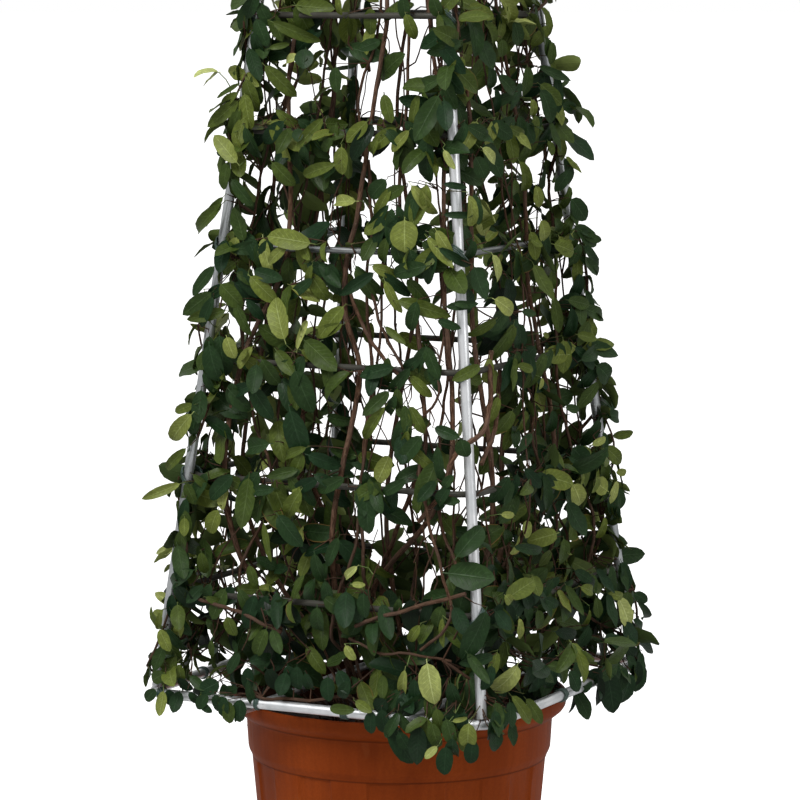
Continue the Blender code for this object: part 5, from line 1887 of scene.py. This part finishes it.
# %% Place the nearest leaves
HAND_LEAVES = (
    # side, height, clock, length, width and age, in centimetres and hundredths of a lifetime
    (0.12, 116, 3.8, 5.9, 1.5, 45), (0.12, 113, 2.5, 2.3, 0.8, 42), (0.31, 113, 6.2, 2.4, 2.2, 12),
    (0.46, 119, 5.8, 2.5, 1, 55), (0.69, 114, 8.3, 2.7, 1.3, 12), (0.82, 117, 5.3, 3.2, 1.6, 50),
    (0.8, 119, 5.8, 2.8, 1.5, 20), (0.96, 119, 5.4, 2.6, 1.6, 20), (0.98, 117, 5.7, 2.4, 0.9, 40),
    (0, 108, 7.7, 4, 1.5, 42), (0, 109, 8, 3.4, 0.6, 30), (0.06, 110, 5.8, 3.9, 1.7, 30),
    (0.11, 111, 4.5, 5.2, 1.8, 42), (0.19, 106, 4.3, 3.8, 1.3, 42), (0.27, 104, 6.9, 3.4, 1.5, 35),
    (0.05, 104, 5.3, 4.7, 1.7, 14), (0.04, 100, 10.6, 4.4, 1.8, 70), (0, 101, 9, 2.2, 0.8, 12),
    (0, 100, 6.5, 3.4, 1.5, 35), (0.2, 100, 4.6, 3.7, 1.8, 35), (0.31, 104, 6, 1.6, 1.3, 10),
    (0.34, 102, 6, 2.4, 1.6, 12), (0.47, 111, 6, 3, 1.5, 20), (0.49, 100, 8.5, 4.9, 1.6, 45),
    (0.51, 102, 6.1, 3.3, 1.8, 60), (0.47, 103, 7.2, 2.2, 1.2, 30), (0.53, 104, 4.2, 2.5, 1, 12),
    (0.68, 103, 7, 2.8, 1.4, 50), (0.71, 108, 5.5, 3.3, 1.4, 40), (0.72, 104, 4.5, 2.5, 1.5, 12),
    (0.82, 104, 7.4, 3.5, 1.2, 60), (0.87, 108, 6.6, 3.9, 1.2, 50), (0.97, 108, 6.9, 5.8, 2.4, 22),
    (0.98, 110, 8.2, 4.5, 2.2, 25), (0.98, 110, 5.2, 3.9, 1.6, 22), (0.9, 98, 6.2, 3, 1.6, 60),
    (0.4, 91, 9.3, 5.5, 2.4, 60), (0.06, 90, 2.9, 5.2, 1.7, 15), (0.11, 91, 11.6, 4.1, 2, 25),
    (0.59, 96, 9, 3.8, 1.8, 80), (0.8, 94, 6, 3.6, 3, 60), (0.89, 89, 8.6, 4.6, 2.1, 20),
    (0.77, 85, 3.5, 6.1, 1.8, 40), (0.85, 85, 6.5, 3.9, 1.7, 20), (0.72, 82, 4.2, 3.2, 0.9, 40),
    (0.88, 80, 7, 4, 1.9, 15), (0.88, 80, 5.3, 4, 1.4, 15), (0.33, 80, 11.4, 5.5, 2.9, 60),
    (0.55, 84, 7.4, 4.8, 2.1, 50), (0.55, 82, 8.2, 4.3, 1.5, 45), (0.41, 80, 4.4, 5.2, 2.5, 30),
    (0.38, 79, 0.4, 4.1, 0.9, 80), (0.375, 76.5, 5.3, 5.4, 2.5, 12), (0.06, 80, 5.8, 5, 2.9, 10),
    (0.1, 80, 5.4, 2.7, 1.7, 65), (0.2, 79, 7.3, 3.5, 1.3, 70), (0.23, 77, 6.2, 3.5, 1.9, 10),
    (0, 96, 7.3, 5.5, 1.5, 35), (0, 88, 7.3, 4.6, 1.4, 15), (0, 71, 7.4, 4.8, 2.2, 70),
    (0, 72, 8.3, 2.9, 1.2, 50), (0, 67, 7.5, 4.5, 1.3, 45), (0, 63, 8.2, 4.8, 1.2, 70),
    (0.3, 68, 8.6, 4.6, 2.5, 15), (0.37, 72, 5.5, 6.8, 2.9, 5), (0.72, 73, 7.3, 5.2, 1.4, 45),
    (0.85, 70, 7.3, 4.4, 1.9, 15), (0.91, 69, 5.9, 4.5, 1.3, 15), (0.9, 71, 3.6, 3.2, 1.4, 15),
    (0.67, 65, 5.2, 5, 2, 20), (0.66, 63, 6, 4.5, 2.2, 5), (0.43, 63, 7.1, 4.1, 2, 50),
    (0.36, 60, 4.8, 4.3, 2.2, 10), (0.34, 63, 8.7, 3.5, 1.4, 15), (0.24, 64, 6.2, 6, 2.2, 35),
    (0.63, 55, 7.6, 2.7, 1.2, 85), (0.62, 53, 3, 1.5, 0.7, 75), (0.49, 56, 5.7, 4, 1.7, 20),
    (0.57, 58, 6.8, 3.9, 1.4, 15), (0.14, 60, 6.8, 3.3, 2, 55), (0.03, 59, 6, 2.2, 1.2, 60),
    (0.09, 53, 8, 5.3, 2.2, 20), (0.31, 59, 5.7, 4.5, 0.8, 50), (0.1, 55, 5.8, 3, 1.5, 45),
    (0.27, 54, 5.5, 3, 1.3, 40), (0.53, 53, 5.7, 3.2, 1.5, 15), (0.6, 52, 6, 4.2, 2.4, 10),
    (0.51, 50, 6, 3.5, 2.2, 20), (0.66, 52, 6, 3, 1.6, 10), (0.34, 49, 3.7, 4.3, 1.5, 10),
    (0.22, 48, 5.4, 2.6, 1.6, 45), (0.14, 50, 3.7, 2.5, 1, 40), (0.05, 49, 5.8, 3, 1.8, 50),
    (0.07, 47, 6.7, 2.6, 1.6, 65), (0, 46, 5.2, 2.8, 1.4, 65), (0, 48, 6.4, 2.6, 0.9, 60),
    (0.17, 45, 6, 2.2, 0.8, 40), (0.35, 47, 6.8, 3.8, 1.8, 40), (0.37, 47, 5.3, 3, 1.4, 30),
    (0.3, 43, 2.4, 3, 1.7, 10), (0.27, 44, 7, 3, 1.2, 10), (0.3, 41, 5.7, 3.7, 1.1, 10),
    (0.42, 43, 5.5, 2.7, 1.7, 10), (0.08, 42, 5.8, 2.4, 1.4, 50), (0.04, 39, 6.2, 3, 1.3, 70),
    (0.16, 39, 6, 2.3, 0.8, 55), (0.16, 38, 4.2, 1.8, 0.9, 10), (0.22, 39, 5.4, 3.5, 1.1, 45),
    (0.6, 46, 5, 2, 1.2, 85), (0.64, 39, 9, 3.4, 1.3, 45), (0.64, 40, 4, 2.3, 1.2, 60),
    (0.79, 44, 6.3, 4.5, 1.5, 80), (0.86, 45, 5.7, 4.9, 2.5, 85), (0.84, 49, 7.2, 2.8, 1.3, 55),
    (0.91, 50, 6.1, 3.4, 0.8, 60), (0.82, 43, 6, 4, 1.5, 10), (0.72, 43, 6, 2.8, 1.2, 40),
    (0.93, 43, 5.6, 4, 2.2, 15), (0.91, 39, 5.5, 3, 1.6, 35), (0.83, 37, 5.2, 2.6, 1.8, 12),
    (0.77, 37, 5, 2.5, 1.5, 12), (0.74, 38, 5.1, 5.8, 2.3, 5), (0.83, 38, 6, 4.4, 2.1, 5),
    (0.93, 37, 6, 3.1, 2.2, 10), (0.88, 36, 7.5, 2, 0.9, 90), (0.98, 39, 6.2, 3.3, 2.3, 65),
    (0.93, 39, 2.5, 1.7, 0.6, 80), (0.88, 40, 5.6, 3, 1.6, 40), (0.93, 55, 3.2, 5.6, 3.2, 15),
    (0.96, 57, 1.2, 5, 2.8, 12), (1, 51, 6.7, 6, 2.7, 12), (1.03, 46, 8.6, 3.4, 1.7, 12),
    (0.99, 70, 5.5, 2.2, 2, 20), (0.96, 66, 7.4, 2.2, 1.2, 12), (0.92, 63, 3, 2.2, 1, 12),
    (1.16, 44, 6.9, 4.2, 2.9, 85), (1.06, 46, 6.4, 3, 1.2, 60), (1, 39, 5, 2.2, 1.6, 10),
    (1.11, 41, 4.7, 5, 1.4, 55), (1.03, 40, 4.9, 2.9, 1.6, 10), (1.01, 41, 5.8, 2.9, 1.6, 30),
    (1, 38, 4, 2.2, 0.9, 45), (1.75, 39, 5.5, 5.2, 2.7, 2), (1.68, 39, 5.8, 4, 1.6, 2),
    (1.9, 47, 5, 4.4, 2.2, 90), (1.82, 48, 3.6, 2.7, 1.2, 60), (1.81, 48, 5.7, 4.2, 1.6, 10),
    (1.67, 47, 6.1, 2.9, 0.7, 60), (1.73, 48, 5.5, 2.8, 1.2, 35), (1.62, 50, 3.8, 2.6, 1.5, 60),
    (1.72, 50, 4.4, 2.4, 1.3, 40), (1.13, 52, 4.5, 1.6, 1.3, 65), (1.32, 53, 5.5, 2.5, 1.8, 50),
    (1.25, 52, 7.1, 1.9, 0.9, 50), (1.38, 50, 4, 2.3, 1.2, 10), (1.33, 49, 5.5, 2.5, 1.6, 30),
    (1.42, 46, 3.5, 3.5, 1.5, 2), (1.66, 45, 6.5, 3, 1.6, 10), (1.9, 44, 5.2, 3, 2, 5),
    (2, 46, 4.6, 5, 1.3, 15), (2, 47, 4, 2.3, 1.3, 10), (1.97, 44, 4.2, 2.8, 1.2, 10),
    (1.2, 49, 5.6, 2.6, 1, 80), (1.66, 62, 5, 3.4, 2.3, 75), (1.92, 60, 10.2, 2.6, 2.2, 70),
    (1.9, 64, 5.4, 4, 1.4, 35), (1.99, 61, 6.4, 2.8, 0.9, 80), (1.51, 57, 8.6, 3.2, 2.4, 65),
    (1.2, 57, 3.5, 4.5, 1.3, 10), (1.43, 64, 5.4, 4.9, 1.4, 15), (1.61, 60, 5.2, 4.6, 2.3, 8),
    (1.86, 57, 6, 3, 1.2, 60), (1.14, 61, 3.3, 1.8, 0.8, 80), (1.55, 56, 5.8, 3.4, 1.9, 35),
    (1.16, 74, 6.5, 3.4, 1.4, 55), (1.27, 72, 6.8, 2.8, 2, 35), (1.38, 69, 7.6, 2.9, 1.3, 15),
    (1.57, 71, 5.8, 3.5, 1.6, 10), (1.66, 71, 3.4, 2, 1, 15), (2, 69, 3.6, 2.6, 1.8, 10),
    (1.83, 66, 2.4, 2.2, 1, 75), (1.75, 66, 4.3, 1.9, 0.9, 55), (1.52, 67, 5.2, 3, 0.9, 40),
    (1.47, 65, 5, 3, 2.2, 12), (1.7, 66, 4.5, 3.3, 2.4, 3), (1.93, 67, 5.6, 3.3, 1.3, 10),
    (1.99, 62, 3.2, 1.6, 1, 60), (2, 60, 5.3, 3, 1.6, 15), (1.02, 89, 5.5, 4, 2.2, 12),
    (1, 97, 5.3, 4.2, 1.6, 65), (1.04, 97, 5.5, 3.5, 1.3, 12), (1.17, 90, 5.2, 3.7, 1.5, 85),
    (1.62, 97, 5.4, 2.8, 1.4, 65), (1.62, 93, 5.2, 3, 1.9, 62), (1.53, 91, 4.2, 1.6, 0.9, 55),
    (1.76, 93, 5, 3, 1.6, 20), (1.95, 95, 4.7, 3.5, 2, 15), (1.98, 91, 3.5, 3, 1, 15),
    (1.72, 90, 3.6, 3.3, 2, 50), (1.96, 88, 4.1, 4.3, 1.4, 15), (1.53, 88, 5.2, 4.8, 2, 45),
    (1.66, 87, 5.7, 3.5, 1.6, 40), (1.66, 84, 5.5, 4.6, 1.3, 40), (1.38, 90, 5.7, 4.6, 1.6, 20),
    (1.28, 87, 5.5, 3.5, 1.8, 0), (1.17, 85, 4, 3.4, 1.9, 78), (1.38, 83, 3.5, 1.6, 1, 12),
    (0.99, 85, 3, 2.2, 1.1, 12), (0.93, 83, 3.6, 2.7, 1, 12), (1.3, 81, 7, 4.3, 1.7, 40),
    (1.55, 80, 4, 1.1, 0.6, 60), (1.98, 84, 5.3, 3.8, 1.5, 12), (1.85, 79, 3.6, 2.4, 1.2, 45),
    (1.83, 76, 2.1, 4.2, 2.2, 12), (1.75, 77, 9, 2.8, 2.1, 62), (1.52, 75, 6, 1.4, 0.7, 75),
    (1.33, 77, 3.5, 2.4, 1.1, 50), (1.96, 75, 4.3, 3.2, 2.6, 10), (1.3, 78, 6.3, 4, 1, 35),
    (1.42, 119, 4.4, 5.5, 2, 68), (1.14, 118, 3.8, 3.6, 1.4, 50), (1.02, 114, 8.2, 3.6, 2, 18),
    (1.6, 116, 5.3, 3.2, 1.8, 14), (1.44, 114, 5.6, 2.2, 1.4, 32), (1.24, 114, 5.5, 3.5, 2.2, 10),
    (1.3, 111, 5.2, 3.2, 1.6, 12), (1.92, 114, 5.3, 3, 1.2, 25), (1.98, 108, 2, 2.4, 0.6, 20),
    (1.99, 106, 3.4, 2.6, 1.5, 15), (1.8, 108, 5, 4.6, 2.1, 14), (1.92, 104, 4.8, 3.2, 2, 35),
    (1.66, 107, 5.2, 2.3, 1.3, 65), (1.12, 105, 6.8, 3.6, 1.7, 68), (1.15, 102, 4.3, 3, 1.5, 82),
    (0.98, 102, 5.1, 2.4, 0.9, 78), (1.78, 102, 5, 2, 1, 42), (1.96, 100, 4.7, 2.7, 0.8, 50),
    (1.5, 100, 5, 5, 1.8, 48), (1.1, 101, 5, 2.8, 1.8, 10), (1.42, 98, 5.6, 2.2, 1.2, 40),
    (0.02, 39, 7.5, 2.2, 1.4, 15), (0.05, 39, 5, 2.4, 1.5, 10), (0.09, 39, 6.5, 2.6, 1.6, 12),
    (0.12, 39, 4.5, 2.2, 1.3, 10), (0.2, 39, 5.2, 2.4, 1.4, 10), (0.24, 39, 6.4, 2.6, 1.5, 10),
    (0.18, 39, 7.2, 2.2, 1.4, 10), (0.36, 42.4, 5, 2.8, 1.8, 5), (0.42, 42.2, 6.5, 2.8, 1.8, 5),
    (0.48, 42.4, 5.5, 2.8, 1.6, 8), (0.55, 42.2, 6, 2.8, 1.7, 5), (0.62, 42, 7, 2.8, 1.6, 8),
    (0.3, 42.4, 6, 2.8, 1.5, 5), (0.45, 43, 6, 3, 1.7, 10), (0.58, 43, 5, 3, 1.7, 6),
    (1.4, 42, 6, 3, 1.8, 5), (1.5, 41, 5, 3, 1.6, 8), (1.32, 42, 7, 2.6, 1.5, 5),
    (1.84, 39, 6, 3, 1.6, 8), (1.9, 40, 5, 2.8, 1.5, 10), (1.97, 40, 6, 3, 1.4, 8),
    (1.62, 39, 7, 2.2, 1.2, 10), (0.25, 38.5, 6, 2.8, 1.6, 45), (0.235, 39, 7, 2.4, 1.4, 10),
    (1, 38.5, 5.5, 3.4, 2, 12), (0.97, 38, 6, 3.2, 2, 60), (1.12, 38, 6, 2.8, 1.4, 12),
    (1.05, 40, 5.5, 2.8, 1.5, 45), (1.2, 40, 4.8, 4, 1.3, 50), (0.985, 37, 6.3, 3, 1.9, 8),
    (0.91, 36, 6.2, 3.4, 2, 6), (0.87, 38.5, 5.6, 3.2, 1.8, 40), (0, 107, 7.6, 4.6, 1.6, 42),
    (0, 95.2, 7.6, 6.2, 2, 36), (2, 90.5, 3.5, 2.6, 1, 20), (2, 89.3, 4.6, 5, 1.8, 10),
    (0.975, 98.2, 3.2, 2.6, 0.8, 6), (0.965, 94.8, 3, 3.4, 0.9, 5), (0.99, 107.5, 5.8, 3.6, 1.9, 6),
    (1.01, 105, 6.3, 3.2, 1.6, 10), (0.96, 84.6, 2.8, 3.6, 1, 8), (1, 40.2, 6, 3.6, 2, 8),
    (1.03, 40.5, 5.6, 3, 1.8, 20), (1.06, 39.8, 6.4, 3, 1.6, 10), (1.1, 40.4, 6, 3, 1.6, 15),
    (0.965, 40, 6.2, 3.2, 1.8, 10), (0.285, 38.8, 6.2, 2.8, 1.7, 12), (1.24, 43.2, 6, 2.6, 1.9, 5),
    (1.3, 42.8, 5.6, 2.6, 1.9, 8), (1.36, 43, 6.4, 2.6, 1.8, 5), (1.44, 42.4, 6, 2.6, 1.8, 8),
    (1.5, 42, 6.6, 2.4, 1.6, 5), (1.56, 42, 5.6, 2.4, 1.6, 10), (0.03, 79, 5.7, 4.6, 2.6, 10),
    (0.685, 39, 6.2, 2.8, 1.6, 10), (0.715, 39.3, 5.8, 3.2, 1.8, 8), (1.015, 40, 6.1, 2.8, 1.8, 30),
    (1.93, 39.2, 5.6, 4.2, 2.2, 6), (1.97, 38.5, 6.2, 3.6, 2, 10), (1.88, 38, 6.2, 4.2, 2.3, 5),
)
NEAR_LEAVES = [
    (side, height / 100, clock, length, width, age / 100)
    for side, height, clock, length, width, age in HAND_LEAVES
]
HOOP_SHOWS = {
    # wall and number, with the ring as 0: the stretch of the wall where the tube shows
    (0, 0): (0.27, 0.70), (0, 4): (0.31, 0.64),
    (1, 0): (0.12, 0.66), (1, 2): (0.0, 0.15), (1, 3): (0.08, 0.28), (1, 4): (0.10, 0.50),
}
COVER_AGES = (0.02, 0.06, 0.12, 0.20, 0.30, 0.42, 0.55)
YOUNGEST_HEIGHT = 0.95
COVER_STEP_NEAR, COVER_STEP_FAR = 0.017, 0.030
COVER_TOP = 1.2
rng = random.Random(23)


def cover_leaf(side, height, swing, clock=6.0, longest=4.6):
    """A leaf of seeded size that hangs across whatever lies behind this place."""
    clock += rng.uniform(-swing, swing)
    youth = max(0.55, 1.25 - 1.6 * abs(height - YOUNGEST_HEIGHT))
    young = rng.choice(COVER_AGES) * youth
    return (side, height, clock, rng.uniform(0.6, 1.0) * longest, rng.uniform(1.2, 2.0), young)


def main_stem_at(z):
    """Where the stem that shows most runs on the first wall."""
    return min(STEMS[0][3], key=lambda spot: abs(spot[1] - z))[0]


for wall in range(4):
    for number, z in enumerate((RING_Z + 0.010, *HOOP_HEIGHTS[:5])):
        step = (COVER_STEP_NEAR if wall < NEAR_WALLS else COVER_STEP_FAR) / wall_width(z)
        shown_from, shown_to = HOOP_SHOWS.get((wall, number), (1.0, 1.0))
        longest = 4.4 if number else 3.2
        share = 0.04
        while share < 0.96:
            stem_shows = wall == 0 and abs(share - main_stem_at(z)) < 0.04
            too_low = wall >= NEAR_WALLS and number < 2
            if not (stem_shows or shown_from < share < shown_to or too_low):
                height = z + rng.uniform(0.004, 0.018)
                NEAR_LEAVES.append(cover_leaf(wall + share, height, 2.2, longest=longest))
            share += step * rng.uniform(0.6, 1.4)
COVER_SPOTS = (
    # for each corner, two sides and clocks
    ((0.02, 6.0), (0.03, 5.6)),
    ((1.0, 7.0), (0.985, 5.0)),
    ((1.93, 6.0), (1.95, 6.4)),
    ((2.97, 5.6), (3.02, 6.4)),
)
for corner, lowest, highest, _ in CORNER_COVER:
    z = lowest + 0.03
    while z < min(highest, COVER_TOP):
        side, clock = rng.choice(COVER_SPOTS[corner])
        NEAR_LEAVES.append(cover_leaf(side, z, 0.9, clock))
        z += rng.uniform(0.013, 0.022)
DENSE_SPOTS = (
    # side, height, half size along the wall, half size up, number of leaves
    (0.78, 0.755, 0.04, 0.020, 4), (0.77, 0.735, 0.05, 0.015, 6),
    (0.77, 0.705, 0.05, 0.020, 4), (0.10, 0.875, 0.09, 0.015, 7),
    (0.76, 0.955, 0.10, 0.020, 8), (0.85, 0.925, 0.12, 0.020, 8),
    (0.70, 0.880, 0.12, 0.015, 8), (0.45, 0.880, 0.10, 0.015, 6),
    (0.08, 0.840, 0.09, 0.020, 8), (0.44, 0.665, 0.05, 0.020, 6),
    (0.18, 0.745, 0.06, 0.015, 4), (1.30, 0.825, 0.12, 0.015, 8),
    (1.80, 0.815, 0.14, 0.020, 10), (1.80, 1.100, 0.12, 0.015, 6),
    (1.45, 1.080, 0.15, 0.030, 5), (0.80, 0.985, 0.15, 0.012, 5),
)
for side, height, wide, high, count in DENSE_SPOTS:
    for _ in range(count):
        across, upward = rng.uniform(-wide, wide), rng.uniform(-high, high)
        NEAR_LEAVES.append(cover_leaf(side + across, height + upward, 2.6, longest=4.8))
holders = [*bearers]
for path in (path for paths in wall_shoots for path in paths):
    holders += [point["co"] for point in path]
BLADE_FULLNESS = 0.45
PAST_TUBE, PAST_OLD, PAST_SEEDED = 0.009, 0.007, 0.006
leaf_points, leaf_twigs = [], []
for number, (side, height, clock, length, width, young) in enumerate(NEAR_LEAVES):
    wall = 1 if side == 2.0 else math.floor(side)
    outward = side_normal(wall + 0.5) * (1.0 if wall < NEAR_WALLS else -1.0)
    along = corner_direction(wall).lerp(corner_direction(wall + 1), side - wall)
    place = along * corner_radius(height) + Vector((0, 0, height))
    by_tube = height < RING_Z + 0.03 or abs(side - round(side)) < 0.06
    place += outward * rng.uniform(0.011, 0.017)
    by_hand = number < len(HAND_LEAVES)
    place.y -= PAST_TUBE * by_tube + PAST_OLD * (young > 0.6) + PAST_SEEDED * by_hand
    face = outward + Vector((rng.uniform(-0.25, 0.25), -1.0, rng.uniform(-0.10, 0.45)))
    turn = math.radians(clock * 30.0)
    right, up = math.sin(turn), math.cos(turn)
    aim = Vector((right, -(right * face.x + up * face.z) / face.y, up))
    real = length / 100 * min(1.5, aim.length)
    aim.normalize()
    leaf = {"co": place, "aim": aim, "face": face.normalized(), "young": young}
    leaf["size"] = Vector((real, width / 100 / BLADE_FULLNESS, real))
    leaf["blade"] = float(number * 5 % len(BLADES))
    leaf["tone"] = rng.uniform(0.35, 0.65)
    leaf_points.append([leaf])
    foot = place - aim * real * 0.10
    holder = min(holders, key=lambda point: (point - foot).length_squared)
    middle = holder.lerp(foot, 0.5) - outward * 0.010
    twig = [holder, middle, foot - outward * 0.004, foot]
    leaf_twigs.append(shoot_path(twig, young, thick=0.0008))
print("nearest leaves", len(leaf_points))

# %% [markdown]
# ## Grow the foliage
# Each group of shoots gives two pieces: the leaves, and the thin twigs that bear them. The
# groups follow the frame's walls, so that each piece stays light enough to edit, and the nearest
# leaves are a group of their own.

# %% Grow the foliage
LEAF_LENGTH = 0.056
LEFT_SHOOTS = [f"shoot_left_{level}" for level in ("low", "mid", "high")]
RIGHT_SHOOTS = [f"shoot_right_{level}" for level in ("low", "mid", "high")]
FRONT_SHOOTS = ["shoot_front_low", "shoot_front_high", "shoot_middle"]
GROUPS = {
    "front_left": (wall_shoots[0], LEFT_SHOOTS + FRONT_SHOOTS),
    "front_right": (wall_shoots[1], RIGHT_SHOOTS),
    "back_right": (wall_shoots[2], ["shoot_back_right", "shoot_back"]),
    "back_left": (wall_shoots[3], ["shoot_back_left"]),
    "inner": (inner_shoots, []),
    "hanging": (hanging_shoots, ["shoot_front_hanging"]),
    "top": (top_shoots, ["shoot_top_left", "shoot_top_right"]),
}


def add_twigs(name, paths):
    mesh = tube_mesh(paths, bark, 1.0, sides=6, spacing=0.012, wobble=0.001)
    add_piece(f"twigs_{name}", mesh, "bark")


for number, (name, (paths, nodes)) in enumerate(GROUPS.items()):
    leaves = grow(
        leafy_shoots,
        path_mesh(paths),
        Blades=blade_shelf,
        Spacing=0.027,
        Leaf_Length=LEAF_LENGTH,
        Spread=0.62,
        Forward=0.28,
        Outward=0.0 if number < 2 else 0.28,
        Droop=0.85,
        Lift=0.25,
        Chance=0.62,
        Seed=100 * number,
        Material=leaf_skin,
    )
    add_piece(f"leaves_{name}", leaves, "leaf", *nodes)
    add_twigs(name, paths)
leaves = grow(single_leaves, path_mesh(leaf_points), Blades=blade_shelf, Material=leaf_skin)
add_piece("leaves_nearest", leaves, "leaf")
add_twigs("nearest", leaf_twigs)
bpy.data.collections.remove(blade_shelf)

# %% [markdown]
# ## Sizes and faces
# The dressed plant's box is written down, with the number of faces in all. The dressed
# plant must stay in the model's box, apart from a few centimetres of leaf.

# %% Write the sizes and finish
low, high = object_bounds()
print("visual box", [round(v, 3) for v in low], [round(v, 3) for v in high])
faces = sum(len(thing.data.polygons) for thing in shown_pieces() if thing.type == "MESH")
print("faces in all", faces)
